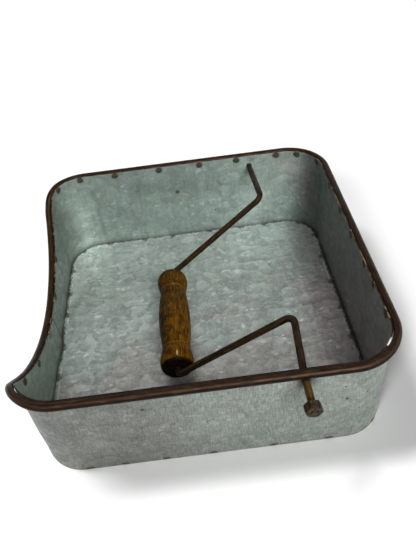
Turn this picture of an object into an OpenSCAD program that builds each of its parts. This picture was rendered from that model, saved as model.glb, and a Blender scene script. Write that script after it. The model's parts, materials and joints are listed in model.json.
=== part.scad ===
// Square galvanised napkin tray: one wall is scooped out for the hand, a round wire
// runs along the top edge of the walls, and a bent rod with a turned wooden grip
// swings down onto what lies in the tray. Millimetres, +Z up. The origin is the
// middle of the tray on the table, with the scooped wall at -X.

/* [Tray] */
// Outside width of the wall sheet, from the scooped wall to the wall opposite
tray_w = 205; // [190:1:240]
// Outside depth of the wall sheet, front to back
tray_d = 205; // [190:1:230]
// Height of the wall sheet
tray_h = 70.8; // [66:0.2:90]
// Outside radius of the upright corners
corner_r = 26; // [15:1:34]
// Thickness of the galvanised sheet
sheet_t = 0.8; // [0.5:0.1:1]
// Length of the double sheet where the wall strip's two ends lap
lap_len = 12; // [8:1:20]
// Length of the joggle that steps the inner end over the outer one
joggle_len = 6; // [3:1:10]
// Place of the lap's free edge along the scooped wall, from its middle
lap_edge_y = -3; // [-20:1:0]

/* [Floor pan] */
// Height of the floor's upper face above the table
floor_h = 4.3; // [3.2:0.1:7]
// Outside radius of the fold between the floor and its turned-down flange
floor_edge_r = 1.5; // [1.2:0.1:2.5]
// Gap all round between the flange and the wall
floor_fit = 0.1; // [0.05:0.05:0.3]

/* [Scoop] */
// Depth of the scoop below the wall's top edge
scoop_depth = 43.2; // [25:0.2:46]
// Level edge left between each end of the scoop and the face of the next wall
scoop_margin = 4.8; // [3:0.2:20]
// Radius of the rounded shoulders where the scoop meets the top edge
shoulder_r = 20; // [10:1:30]

/* [Rim wire] */
// Diameter of the wire
rim_d = 4.6; // [3:0.1:5.6]
// Depth of the wire's centre below the sheet's top edge
rim_drop = 1.3; // [0.5:0.1:2]
// Gap between the wire and the sheet
rim_gap = 0.15; // [0.1:0.05:0.3]

/* [Spot welds] */
// Height of a weld nugget above the sheet
weld_h = 0.35; // [0.2:0.05:0.6]
// Width of a nugget's crown, as a share of its width on the sheet
weld_crown = 0.6; // [0.4:0.05:0.8]
// Diameter of the nuggets below the rim wire
rim_weld_d = 4.4; // [2.4:0.1:4.6]
// Distance between the welds along the rim wire
rim_weld_pitch = 31; // [20:1:45]
// Distance from the scooped wall's middle to the first rim weld
rim_weld_start = 18; // [10:1:30]
// Depth of the rim welds' centres below the sheet's top edge
rim_weld_drop = 2.5; // [2.4:0.1:3.2]
// Diameter of the nuggets along the foot of the wall
foot_weld_d = 3.6; // [2:0.1:4]
// Distance between the welds along the foot of the wall
foot_weld_pitch = 30; // [20:1:45]
// Distance from the scooped wall's middle to the first foot weld
foot_weld_start = 8; // [5:1:20]
// Height of the foot welds' centres above the table
foot_weld_z = 2.2; // [2.1:0.1:2.8]

/* [Swing arm] */
// Distance from the wall opposite the scoop to the pivot holes' centres
pivot_inset = 51.3; // [40:0.5:60]
// Depth of the pivot holes' centres below the wall's top edge
pivot_drop = 8.6; // [8.4:0.1:14]
// Diameter of the arm's rod
rod_d = 4.2; // [3:0.1:4.4]
// Clearance between the rod and the pivot hole, on the radius
hole_fit = 0.1; // [0.05:0.01:0.1]
// Distance from the pivot line to the grip's axis
arm_len = 83.8; // [75:0.2:95]
// Length of rod between the front wall and the front bend
front_stub = 43; // [38:0.5:46]
// Length of rod between the back wall and the back bend
back_stub = 46.7; // [40:0.5:50]
// Length of each stub that runs straight on from its hole
stub_lead = 5; // [3:0.5:12]
// How far the sprung stubs lean back from the pivot line at the bends
stub_lean = 2.8; // [0:0.1:5]
// Radius of the slight bends where the stubs begin to lean
lean_bend_r = 60; // [20:5:80]
// Radius of the rod's centreline at the bends by the pivot
leg_bend_r = 6; // [5:0.5:9]
// Radius of the rod's centreline at the bends by the grip
grip_bend_r = 4.2; // [3.5:0.1:4.4]
// How much thinner the rod is drawn round its bends
bend_thinning = 0.02; // [0.02:0.01:0.1]
// How far the arm can slide sideways in its holes
side_play = 14.8; // [2:0.2:20]
// Gap between the grip and the floor, and between the back nut and the wall
rest_gap = 0.3; // [0.2:0.05:0.5]

/* [Grip] */
// Length of the wooden grip
grip_len = 84.5; // [70:0.5:88]
// Greatest diameter, at the belly and at the end beads
grip_d = 21.8; // [16:0.2:26]
// Diameter at the two necks
neck_d = 18.7; // [14:0.1:21]
// Diameter of the flat end faces
end_d = 18.4; // [12:0.1:20]
// Distance from each end to the neck
neck_inset = 17.8; // [14:0.2:22]
// Distance from each end to the crest of the bead
bead_inset = 5.8; // [3:0.2:9]
// Distance from each end to the scribed ring
scribe_inset = 15.4; // [12:0.2:24]
// Width and depth of the scribed ring
scribe_w = 0.8; // [0.4:0.1:1.2]
// Place of the grip's middle along the rod, from the tray's middle
grip_y = -7.3; // [-9:0.1:-5]
// Rod left bare at each end of the grip, up to the corner of the bend
grip_gap = 4.7; // [4.4:0.1:6]
// Clearance between the grip's bore and the rod, on the radius
bore_fit = 0.1; // [0.05:0.01:0.1]

/* [Nuts] */
// Width of the nuts across their flats
nut_af = 8.2; // [7:0.1:8.6]
// Thickness of the nuts
nut_t = 5; // [3:0.1:6]
// Chamfer on the nuts' corners
nut_chamfer = 0.5; // [0.2:0.1:0.8]
// Rod left standing out of each nut
rod_end = 0.4; // [0.4:0.1:3]
// Clearance between each nut's bore and the rod, on the radius
thread_fit = 0.05; // [0.02:0.01:0.1]
// How far the nuts are turned on the rod
nut_turn = 10; // [0:1:59]

/* [Hidden] */
$fn = 96;
// Sides of the rim wire and of a weld nugget
wire_sides = 16;
weld_sides = 24;
// Stations of the rim wire on a corner, and on each stretch of the scoop
corner_steps = 12;
scoop_steps = 16;
// Half the span over which the wire's direction is taken
wire_step = 0.05;
// Steps in each curve of the grip's profile
profile_steps = 14;
// How far a cut runs past the face that it cuts
over = 1;
// How far the arm's straights reach into its bends
bend_lap = 0.15;

half_w = tray_w / 2;
half_d = tray_d / 2;
line_x = half_w - corner_r;
line_y = half_d - corner_r;

// The scoop is one large arc between two shoulders, tangent to both
scoop_end_y = half_d - scoop_margin;
arc_centres = (pow(scoop_end_y, 2) + pow(scoop_depth, 2)) / (2 * scoop_depth);
scoop_r = arc_centres - shoulder_r;
scoop_centre_z = tray_h - scoop_depth + scoop_r;
tangent_y = scoop_end_y * scoop_r / arc_centres;
tangent_z = scoop_centre_z - sqrt(pow(scoop_r, 2) - pow(tangent_y, 2));

// Distances along the wall's outside face, from the middle of the scooped wall
// and round by the back, at which the straights and the corners begin
corner_arc = corner_r * PI / 2;
back_left = line_y;
back_wall = back_left + corner_arc;
back_right = back_wall + 2 * line_x;
right_wall = back_right + corner_arc;
front_right = right_wall + 2 * line_y;
front_wall = front_right + corner_arc;
front_left = front_wall + 2 * line_x;
left_wall = front_left + corner_arc;
loop_len = left_wall + line_y;

pivot_x = half_w - pivot_inset;
pivot_z = tray_h - pivot_drop;
grip_z = floor_h + rest_gap + grip_d / 2;
arm_angle = asin((pivot_z - grip_z) / arm_len);
grip_x = pivot_x - arm_len * cos(arm_angle);
back_nut_y = half_d + rest_gap;
front_nut_y = -half_d - rest_gap - side_play;

zinc = [0.62, 0.66, 0.65];
rust = [0.30, 0.20, 0.14];
wood = [0.45, 0.29, 0.09];
iron = [0.27, 0.24, 0.21];

// ---- The wall's outline and its top edge ----

module rounded_rect(w, d, r) {
    square([w - 2 * r, d], center = true);
    square([w, d - 2 * r], center = true);
    for (side_x = [-1, 1], side_y = [-1, 1])
        translate([side_x * (w / 2 - r), side_y * (d / 2 - r)]) circle(r = r);
}

// Point on a corner's outside face: [x, y, and the outward normal]
function corner_point(x, y, turn) =
    [x + corner_r * cos(turn), y + corner_r * sin(turn), cos(turn), sin(turn)];

// Point on the wall's outside face at the distance s along it
function wall_point(s) =
    s < back_left ? [-half_w, s, -1, 0] :
    s < back_wall ? corner_point(-line_x, line_y, 180 - 90 * (s - back_left) / corner_arc) :
    s < back_right ? [s - back_wall - line_x, half_d, 0, 1] :
    s < right_wall ? corner_point(line_x, line_y, 90 - 90 * (s - back_right) / corner_arc) :
    s < front_right ? [half_w, line_y - (s - right_wall), 1, 0] :
    s < front_wall ? corner_point(line_x, -line_y, -90 * (s - front_right) / corner_arc) :
    s < front_left ? [line_x - (s - front_wall), -half_d, 0, -1] :
    s < left_wall ? corner_point(-line_x, -line_y, -90 - 90 * (s - front_left) / corner_arc) :
    [-half_w, s - left_wall - line_y, -1, 0];

// Height of the sheet's top edge at a point of the wall
function edge_z(p) =
    p.x > 0 || abs(p.y) > scoop_end_y ? tray_h :
    abs(p.y) > tangent_y
        ? tray_h - shoulder_r + sqrt(pow(shoulder_r, 2) - pow(scoop_end_y - abs(p.y), 2)) :
    scoop_centre_z - sqrt(pow(scoop_r, 2) - pow(p.y, 2));

// What the scoop takes out of the wall, seen along X
module scoop_outline() {
    difference() {
        union() {
            translate([0, scoop_centre_z]) circle(r = scoop_r);
            polygon([[-scoop_end_y, tray_h + over], [-scoop_end_y, tray_h],
                     [-tangent_y, tangent_z], [tangent_y, tangent_z],
                     [scoop_end_y, tray_h], [scoop_end_y, tray_h + over]]);
        }
        for (side = [-1, 1])
            translate([side * scoop_end_y, tray_h - shoulder_r]) circle(r = shoulder_r);
    }
}

// ---- The sheet-metal tray ----

// Plan of the strip's inner end: it steps in over the joggle and lies on the outer end
module lap_outline() {
    inner_x = -half_w + sheet_t;
    polygon([[inner_x - sheet_t / 2, lap_edge_y],
             [inner_x + sheet_t, lap_edge_y],
             [inner_x + sheet_t, lap_edge_y - lap_len],
             [inner_x, lap_edge_y - lap_len - joggle_len],
             [inner_x - sheet_t / 2, lap_edge_y - lap_len - joggle_len]]);
}

module wall_band() {
    color(zinc)
    difference() {
        union() {
            linear_extrude(tray_h) difference() {
                rounded_rect(tray_w, tray_d, corner_r);
                rounded_rect(tray_w - 2 * sheet_t, tray_d - 2 * sheet_t, corner_r - sheet_t);
            }
            linear_extrude(tray_h) lap_outline();
        }
        translate([-tray_w, 0, 0])
            rotate([90, 0, 90]) linear_extrude(tray_w) scoop_outline();
        translate([pivot_x, 0, pivot_z]) rotate([90, 0, 0])
            cylinder(d = rod_d + 2 * hole_fit, h = tray_d + 2 * over, center = true);
    }
}

// Section through the pan's edge, from the middle of a corner out to its flange
module pan_section(reach) {
    difference() {
        union() {
            square([reach - floor_edge_r, floor_h]);
            square([reach, floor_h - floor_edge_r]);
            translate([reach - floor_edge_r, floor_h - floor_edge_r]) circle(r = floor_edge_r);
        }
        translate([-over, -over])
            square([reach - floor_edge_r + over, floor_h - sheet_t + over]);
        translate([-over, -over])
            square([reach - sheet_t + over, floor_h - floor_edge_r + over]);
        translate([reach - floor_edge_r, floor_h - floor_edge_r])
            circle(r = floor_edge_r - sheet_t);
    }
}

module floor_pan() {
    half_pan_w = half_w - sheet_t - floor_fit;
    half_pan_d = half_d - sheet_t - floor_fit;
    pan_r = corner_r - sheet_t - floor_fit;
    relief_len = lap_len + joggle_len + 2 * floor_fit;
    color(zinc)
    difference() {
        union() {
            translate([-line_x, -line_y, floor_h - sheet_t])
                cube([2 * line_x, 2 * line_y, sheet_t]);
            for (side = [-1, 1]) {
                rotate([0, 0, 90 - 90 * side]) translate([half_pan_w - pan_r, line_y, 0])
                    rotate([90, 0, 0]) linear_extrude(2 * line_y) pan_section(pan_r);
                rotate([0, 0, 90 * side]) translate([half_pan_d - pan_r, line_x, 0])
                    rotate([90, 0, 0]) linear_extrude(2 * line_x) pan_section(pan_r);
            }
            for (side_x = [0, 1], side_y = [0, 1])
                mirror([side_x, 0, 0]) mirror([0, side_y, 0]) translate([line_x, line_y, 0])
                    rotate_extrude(angle = 90) pan_section(pan_r);
        }
        // The edge is nipped in where the wall's lap stands
        translate([-half_w, lap_edge_y + floor_fit - relief_len, -over])
            cube([2 * sheet_t + floor_fit, relief_len, floor_h + 2 * over]);
    }
}

// ---- The rim wire ----

// Centre of the wire beside the wall at the distance s along it
function wire_centre(s) =
    let (p = wall_point(s), out = rim_d / 2 + rim_gap)
    [p.x + p[2] * out, p.y + p[3] * out, edge_z(p) - rim_drop];

// The stations are close together on the scoop and in the corners, and lie only at
// the ends of the level straights
wire_stations = concat(
    [for (i = [0 : scoop_steps - 1]) back_left * i / scoop_steps],
    [for (i = [0 : scoop_steps - 1]) back_left + corner_arc * i / scoop_steps],
    [back_wall],
    [for (i = [0 : corner_steps - 1]) back_right + corner_arc * i / corner_steps],
    [right_wall],
    [for (i = [0 : corner_steps - 1]) front_right + corner_arc * i / corner_steps],
    [front_wall],
    [for (i = [0 : scoop_steps - 1]) front_left + corner_arc * i / scoop_steps],
    [for (i = [0 : scoop_steps - 1]) left_wall + line_y * i / scoop_steps]);

// Ring of points round the wire, square to its run at the distance s
function wire_ring(s) =
    let (centre = wire_centre(s),
         ahead = wire_centre((s + wire_step) % loop_len),
         behind = wire_centre((s - wire_step + loop_len) % loop_len),
         run = (ahead - behind) / norm(ahead - behind),
         p = wall_point(s),
         out = [p[2], p[3], 0],
         up = cross(out, run))
    [for (i = [0 : wire_sides - 1])
        centre + rim_d / 2 * (cos(360 * i / wire_sides) * out + sin(360 * i / wire_sides) * up)];

module rim_wire() {
    rings = len(wire_stations);
    points = [for (s = wire_stations) each wire_ring(s)];
    faces = [for (i = [0 : rings - 1], j = [0 : wire_sides - 1])
        let (next_i = (i + 1) % rings, next_j = (j + 1) % wire_sides)
        each [[i * wire_sides + j, i * wire_sides + next_j, next_i * wire_sides + next_j],
              [i * wire_sides + j, next_i * wire_sides + next_j, next_i * wire_sides + j]]];
    color(rust) polyhedron(points, faces, convexity = 6);
}

// ---- The spot welds ----

// One nugget of diameter d on an upright face that looks in the direction turn
module nugget(x, y, z, turn, d) {
    translate([x, y, z]) rotate([0, 0, turn]) rotate([0, 90, 0])
        cylinder(d1 = d, d2 = d * weld_crown, h = weld_h, $fn = weld_sides);
}

// How far the lap stands in from the wall's inside face at a point of the wall
function lap_rise(p) =
    p.x > -half_w || p.y > lap_edge_y ? 0 :
    sheet_t * max(0, min(1, (p.y - lap_edge_y + lap_len + joggle_len) / joggle_len));

// A flat nugget stands off a hollow corner by the corner's rise across it
function corner_seat(p) =
    p[2] == 0 || p[3] == 0 ? 0 : pow(rim_weld_d, 2) / (8 * (corner_r - sheet_t));

module rim_welds() {
    count = round(loop_len / rim_weld_pitch);
    color(rust)
    for (i = [0 : count - 1]) {
        s = (rim_weld_start + loop_len * i / count) % loop_len;
        p = wall_point(s);
        slope = edge_z(wall_point(s + over)) - edge_z(wall_point(s - over));
        drop = rim_weld_drop / cos(atan2(slope, 2 * over));
        inset = sheet_t + lap_rise(p) + corner_seat(p);
        nugget(p.x - inset * p[2], p.y - inset * p[3], edge_z(p) - drop,
               atan2(-p[3], -p[2]), rim_weld_d);
    }
}

module foot_welds() {
    count = round(loop_len / foot_weld_pitch);
    color(rust)
    for (i = [0 : count - 1]) {
        p = wall_point((foot_weld_start + loop_len * i / count) % loop_len);
        nugget(p.x, p.y, foot_weld_z, atan2(p[3], p[2]), foot_weld_d);
    }
}

// ---- The swing arm ----

function along(from, to) = (to - from) / norm(to - from);
function left_of(run) = [-run.y, run.x];
function turn_at(path, i) =
    let (a = along(path[i - 1], path[i]), b = along(path[i], path[i + 1]))
    atan2(a.x * b.y - a.y * b.x, a * b);
// Length that the bend at a path's point takes off the straights beside it
function trim_at(path, radii, i) =
    i == 0 || i == len(path) - 1 ? 0 : radii[i] * tan(abs(turn_at(path, i)) / 2);

// Round rod along a path in the XY plane, with a true arc at every bend. The straights
// reach a little way into the bends, where bending has drawn the rod slightly thinner
module bent_rod(path, radii, d) {
    for (i = [0 : len(path) - 2]) {
        run = along(path[i], path[i + 1]);
        from = path[i] + run * max(0, trim_at(path, radii, i) - bend_lap);
        to = path[i + 1] - run * max(0, trim_at(path, radii, i + 1) - bend_lap);
        translate([from.x, from.y, 0]) rotate([0, 0, atan2(run.y, run.x)])
            rotate([0, 90, 0]) cylinder(d = d, h = norm(to - from));
    }
    for (i = [1 : len(path) - 2]) {
        run = along(path[i - 1], path[i]);
        turn = turn_at(path, i);
        side = sign(turn);
        start = path[i] - run * trim_at(path, radii, i);
        centre = start + side * radii[i] * left_of(run);
        heading = atan2(run.y, run.x) - side * 90;
        translate([centre.x, centre.y, 0]) rotate([0, 0, min(heading, heading + turn)])
            rotate_extrude(angle = abs(turn)) translate([radii[i], 0])
                circle(d = d - bend_thinning);
    }
}

// The arm lies in one plane: X runs from the pivot line to the grip, Y runs along both
module arm_plane() {
    translate([pivot_x, 0, pivot_z]) rotate([0, 180 - arm_angle, 0]) children();
}

module swing_arm() {
    front_grip_y = grip_y - grip_len / 2 - grip_gap;
    back_grip_y = grip_y + grip_len / 2 + grip_gap;
    path = [[0, front_nut_y - nut_t - rod_end],
            [0, -half_d + stub_lead],
            [-stub_lean, -half_d + front_stub],
            [arm_len, front_grip_y],
            [arm_len, back_grip_y],
            [-stub_lean, half_d - back_stub],
            [0, half_d - stub_lead],
            [0, back_nut_y + nut_t + rod_end]];
    radii = [0, lean_bend_r, leg_bend_r, grip_bend_r, grip_bend_r, leg_bend_r, lean_bend_r, 0];
    color(rust) arm_plane() bent_rod(path, radii, rod_d);
}

// ---- The turned grip ----

neck_s = grip_len / 2 - neck_inset;
bead_s = grip_len / 2 - bead_inset;
// Radius of the turning at the distance s from its middle: the belly falls to the neck
// as a quarter wave, the bead rises as a half wave and rounds over as a quarter ellipse
function grip_radius(s) =
    s <= neck_s ? (neck_d + (grip_d - neck_d) * cos(90 * s / neck_s)) / 2 :
    s <= bead_s
        ? (neck_d + (grip_d - neck_d) * (1 - cos(180 * (s - neck_s) / (bead_s - neck_s))) / 2) / 2 :
    (end_d + (grip_d - end_d) * sqrt(max(0, 1 - pow((s - bead_s) / bead_inset, 2)))) / 2;

module grip() {
    stations = concat(
        [for (i = [0 : profile_steps]) neck_s * i / profile_steps],
        [for (i = [1 : profile_steps]) neck_s + (bead_s - neck_s) * i / profile_steps],
        [for (i = [1 : profile_steps]) bead_s + bead_inset * sin(90 * i / profile_steps)]);
    half = [for (s = stations) [grip_radius(s), s]];
    last = len(half) - 1;
    outline = concat([for (i = [last : -1 : 1]) [half[i].x, -half[i].y]], half,
                     [[0, grip_len / 2], [0, -grip_len / 2]]);
    scribe_s = grip_len / 2 - scribe_inset;
    color(wood)
    translate([grip_x, grip_y, grip_z]) rotate([-90, 0, 0])
    difference() {
        rotate_extrude() polygon(outline);
        cylinder(d = rod_d + 2 * bore_fit, h = grip_len + 2 * over, center = true);
        for (side = [-1, 1])
            translate([0, 0, side * scribe_s]) rotate_extrude()
                translate([grip_radius(scribe_s), 0]) circle(d = scribe_w);
    }
}

// ---- The nuts ----

// Hexagon nut with chamfered corners, standing on the XY plane
module hex_nut() {
    across_corners = nut_af / cos(30);
    difference() {
        intersection() {
            cylinder(d = across_corners, h = nut_t, $fn = 6);
            union() {
                cylinder(d1 = across_corners - 2 * nut_chamfer, d2 = across_corners,
                         h = nut_chamfer);
                translate([0, 0, nut_chamfer])
                    cylinder(d = across_corners, h = nut_t - 2 * nut_chamfer);
                translate([0, 0, nut_t - nut_chamfer])
                    cylinder(d1 = across_corners, d2 = across_corners - 2 * nut_chamfer,
                             h = nut_chamfer);
            }
        }
        translate([0, 0, -over])
            cylinder(d = rod_d + 2 * thread_fit, h = nut_t + 2 * over);
    }
}

module front_nut() {
    color(iron) translate([pivot_x, front_nut_y, pivot_z])
        rotate([0, nut_turn, 0]) rotate([90, 0, 0]) hex_nut();
}

module back_nut() {
    color(iron) translate([pivot_x, back_nut_y, pivot_z])
        rotate([0, nut_turn, 0]) rotate([-90, 0, 0]) hex_nut();
}

wall_band();
floor_pan();
rim_wire();
rim_welds();
foot_welds();
swing_arm();
grip();
front_nut();
back_nut();
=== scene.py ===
"""Looks of a square galvanised napkin tray with a swinging rod arm and a turned grip.

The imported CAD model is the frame: each piece here rides on one of its bodies and takes
its main sizes from it. Lengths are metres and +Z is up. The scooped wall is at -X and the
arm's pivot line runs along Y. A place on the wall is given by its run, the distance along
the outside face from the scooped wall's middle round by the back, and by its height.
"""

import json
import logging
import math
from dataclasses import dataclass
from enum import Enum
from typing import Callable, Sequence

import bmesh
import bpy
import numpy as np
from mathutils import Euler, Matrix, Vector


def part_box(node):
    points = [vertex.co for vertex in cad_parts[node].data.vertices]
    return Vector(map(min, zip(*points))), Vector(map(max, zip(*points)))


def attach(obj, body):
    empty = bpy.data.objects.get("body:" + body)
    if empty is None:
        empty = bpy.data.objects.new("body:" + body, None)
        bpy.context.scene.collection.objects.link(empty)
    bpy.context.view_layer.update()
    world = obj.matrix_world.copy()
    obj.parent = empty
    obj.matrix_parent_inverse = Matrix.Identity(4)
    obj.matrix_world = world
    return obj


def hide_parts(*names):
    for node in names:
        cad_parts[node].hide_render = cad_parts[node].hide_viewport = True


Array = np.ndarray
Colour = tuple[float, float, float]

MM = 0.001
IMAGE_WIDTH, IMAGE_HEIGHT = 416, 555
SHARP_ANGLE = math.radians(38)

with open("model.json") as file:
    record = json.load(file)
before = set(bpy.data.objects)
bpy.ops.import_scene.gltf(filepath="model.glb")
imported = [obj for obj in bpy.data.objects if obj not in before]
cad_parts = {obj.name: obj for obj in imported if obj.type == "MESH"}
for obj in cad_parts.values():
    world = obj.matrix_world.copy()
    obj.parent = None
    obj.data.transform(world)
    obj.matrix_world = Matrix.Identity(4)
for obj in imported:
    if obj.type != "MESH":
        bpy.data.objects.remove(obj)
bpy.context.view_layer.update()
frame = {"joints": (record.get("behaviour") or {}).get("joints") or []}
log = logging.getLogger("tray")


class Side(Enum):
    """Ends of the arm's pivot line, as the sign of Y."""

    FRONT = -1
    BACK = 1


class Pattern(Enum):
    """Where a finish reads its pattern: in the object's own space, or along a surface."""

    OBJECT = "Object"
    SURFACE = "UV"


# ---- Shapes worked out as whole arrays ----


def smooth(t: Array) -> Array:
    """Smooth step: 0 below 0, 1 above 1, and 3t^2 - 2t^3 between them."""
    t = np.clip(t, 0.0, 1.0)
    return t * t * (3 - 2 * t)


def unit(vectors: Array) -> Array:
    """Each vector divided by its length."""
    return vectors / np.linalg.norm(vectors, axis=1, keepdims=True)


def ring(sides: int) -> Array:
    """Angle of each side of a round section."""
    return 2 * math.pi * np.arange(sides) / sides


def walked(steps: Array) -> Array:
    """Distance walked from the start to each end of the given steps."""
    return np.concatenate([[0], np.cumsum(np.linalg.norm(steps, axis=1))])


def ripple(points: Array, wavelength: float, seed: int) -> Array:
    """Smooth random relief: a sum of cosine waves that run in seeded random directions,
    each with a length of about the given one and a random phase.

    Args:
        points: Places, with the coordinates on the last axis.
        wavelength: Mean length of the waves.
        seed: Seed of the directions, lengths and phases.

    Returns:
        One value for each place, mostly between -1.5 and 1.5.
    """
    waves = 14
    rng = np.random.default_rng(seed)
    heading = unit(rng.normal(size=(waves, points.shape[-1])))
    pitch = 2 * math.pi / wavelength * rng.uniform(0.6, 1.7, (waves, 1))
    phase = rng.uniform(0, 2 * math.pi, waves)
    return np.cos(points @ (heading * pitch).T + phase).sum(-1) / math.sqrt(waves)


def grid(rows: Array, cols: Array, wrap_rows: bool, wrap_cols: bool) -> tuple[Array, Array]:
    """Quads of a grid whose rows or columns may close on themselves.

    Args:
        rows: Surface place of each row; the last joins the first where the rows close.
        cols: The same for the columns.
        wrap_rows: Whether the rows close.
        wrap_cols: Whether the columns close.

    Returns:
        Point numbers of each quad, and the surface place of each of its corners.
    """
    r, c = np.meshgrid(np.arange(len(rows) - 1), np.arange(len(cols) - 1), indexing="ij")
    r = np.stack([r, r, r + 1, r + 1], -1).reshape(-1, 4)
    c = np.stack([c, c + 1, c + 1, c], -1).reshape(-1, 4)
    in_row = len(cols) - wrap_cols
    quads = (r % (len(rows) - wrap_rows)) * in_row + c % in_row
    return quads, np.stack([rows[r], cols[c]], -1)


def way_out(points: Array, quads: Array) -> int:
    """Step along each quad that makes a closed shape look outwards: 1 where its volume is
    positive as it stands, and -1 where the quads have to be turned round."""
    a, b, c, d = (points[quads[:, i]] for i in range(4))
    return 1 if (a * np.cross(b, c) + a * np.cross(c, d)).sum() > 0 else -1


def thicken(outer: Array, inner: Array, quads: Array, uv: Array) -> tuple[Array, ...]:
    """Joins two skins made of the same quads into a closed sheet. An edge that only one
    quad uses is a free edge, and a quad bridges the two skins there.

    Args:
        outer: Points of the outer skin.
        inner: Points of the inner skin, in the same order.
        quads: Point numbers of the quads, seen from outside.
        uv: Surface place of each quad corner.

    Returns:
        Points, quads, surface places, and each quad's skin: 0 outer, 1 inner, 2 edge.
    """
    count = len(outer)
    start, end = quads.ravel(), np.roll(quads, -1, axis=1).ravel()
    key = np.minimum(start, end) * count + np.maximum(start, end)
    _, index, uses = np.unique(key, return_inverse=True, return_counts=True)
    free = uses[index.ravel()] == 1
    a, b = start[free], end[free]
    uv_a, uv_b = uv.reshape(-1, 2)[free], np.roll(uv, -1, axis=1).reshape(-1, 2)[free]
    bridge = np.stack([b, a, a + count, b + count], -1)
    bridge_uv = np.stack([uv_b, uv_a, uv_a, uv_b], 1)
    return (
        np.concatenate([outer, inner]),
        np.concatenate([quads, quads[:, ::-1] + count, bridge]),
        np.concatenate([uv, uv[:, ::-1], bridge_uv]),
        np.repeat([0, 1, 2], [len(quads), len(quads), len(bridge)]),
    )


def stations(start: float, end: float, step: float) -> Array:
    """Values from start to end, evenly spaced by a step or a little less."""
    return np.linspace(start, end, max(1, math.ceil((end - start) / step - 1e-6)) + 1)


def filleted(corners: Array, radii: Sequence[float], step: float) -> Array:
    """Flat path through corner points, with an arc of the given radius at each corner.

    Each arc starts where its tangent length, radius times the tangent of half the turn,
    ends before the corner.

    Args:
        corners: Corner points in the plane, the path's ends among them.
        radii: Radius at each corner but the two ends.
        step: Distance between points on the arcs and on the straights.

    Returns:
        Points along the path.
    """
    runs = unit(np.diff(corners, axis=0))
    heading = np.arctan2(runs[:, 1], runs[:, 0])
    pieces = [corners[:1]]

    def go_to(end: Array) -> None:
        """Adds a straight from the path's last point.

        Args:
            end: Where the straight ends.
        """
        start = pieces[-1][-1]
        t = stations(0, 1, step / np.linalg.norm(end - start))[1:, None]
        pieces.append(start * (1 - t) + end * t)

    for corner, radius, run, before, after in zip(
        corners[1:], radii, runs, heading, heading[1:]
    ):
        turn = (after - before + math.pi) % (2 * math.pi) - math.pi
        start = corner - run * radius * math.tan(abs(turn) / 2)
        side = math.copysign(1, turn)
        centre = start + side * radius * np.array([-run[1], run[0]])
        go_to(start)
        share = stations(0, 1, min(0.2, step / (radius * abs(turn))))
        angle = before - side * math.pi / 2 + turn * share[1:]
        pieces.append(centre + radius * np.stack([np.cos(angle), np.sin(angle)], -1))
    go_to(corners[-1])
    return np.concatenate(pieces)


def tube(centre: Array, across: Array, upward: Array, radius: Array) -> Array:
    """Points of a tube: at each station a ring, the centre plus the radius times the
    cosine along one direction and the sine along the other.

    Args:
        centre: Centre of each station.
        across: Unit direction at each station, square to the run.
        upward: Unit direction square to the run and to across.
        radius: Radius for each station and side.

    Returns:
        Points, station after station.
    """
    angle = ring(radius.shape[1])
    points = centre[:, None] + (radius * np.cos(angle))[..., None] * across[:, None]
    points += (radius * np.sin(angle))[..., None] * upward[:, None]
    return points.reshape(-1, 3)


def new_object(name: str, data: bpy.types.ID) -> bpy.types.Object:
    """Adds an object to the scene.

    Args:
        name: Name of the object.
        data: Its mesh, camera or light.

    Returns:
        The object.
    """
    made = bpy.data.objects.new(name, data)
    bpy.context.scene.collection.objects.link(made)
    return made


def new_piece(
    name: str,
    points: Array,
    faces: Sequence,
    uv: Array,
    materials: Sequence[bpy.types.Material],
    marks: dict[str, Array] | None = None,
    skins: Array | None = None,
) -> bpy.types.Object:
    """Makes a smooth-shaded object at the origin, with its place in its mesh.

    Args:
        name: Name of the piece.
        points: Points in the frame, in metres.
        faces: Point numbers of each face.
        uv: Surface place of each face corner, in metres, face by face.
        materials: The piece's materials.
        marks: Float attributes by name, one value for each point.
        skins: Material number of each face, where there is more than one material.

    Returns:
        The new object.
    """
    mesh = bpy.data.meshes.new(name)
    mesh.from_pydata(points, [], faces)
    mesh.uv_layers.new(name="Sheet").data.foreach_set("uv", np.ravel(uv).astype(np.float32))
    for key, values in (marks or {}).items():
        layer = mesh.attributes.new(key, "FLOAT", "POINT")
        layer.data.foreach_set("value", values.astype(np.float32))
    for material in materials:
        mesh.materials.append(material)
    if skins is not None:
        mesh.polygons.foreach_set("material_index", skins.astype(np.int32))
    mesh.shade_smooth()
    mesh.set_sharp_from_angle(angle=SHARP_ANGLE)
    mesh.update()
    log.info("%s: %d points, %d faces", name, len(mesh.vertices), len(mesh.polygons))
    return new_object(name, mesh)


# ---- Shader trees ----


def shade_of(red: int, green: int, blue: int) -> Colour:
    """Linear colour of a screen colour whose channels run from 0 to 255."""
    scaled = (np.array([red, green, blue]) / 255 + 0.055) / 1.055
    return tuple(float(v) for v in scaled**2.4)


# Near black of the painted shadow under the grip and of the dark patches by the holes.
SHADOW_AND_SMUDGE = (0.012, 0.013, 0.012)
SCRATCH_GREY = shade_of(72, 76, 70)
PALE_DRIP = shade_of(186, 184, 132)
SEAM_DIRT = shade_of(48, 43, 36)
SEAM_RUST = shade_of(46, 37, 28)
# Near black of the painted shade on the wire's underside.
PAINTED_UNDERSIDE_SHADE = shade_of(17, 9, 4)
# Near white of the bare patch, partly worn metal and partly a painted glint.
BARE_GLINT_METAL = shade_of(246, 246, 242)
# Pale colour of the painted glint on the grip's front bead.
PAINTED_GLINT = shade_of(214, 190, 140)
SCRIBE_DUST = shade_of(128, 88, 52)


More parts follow.
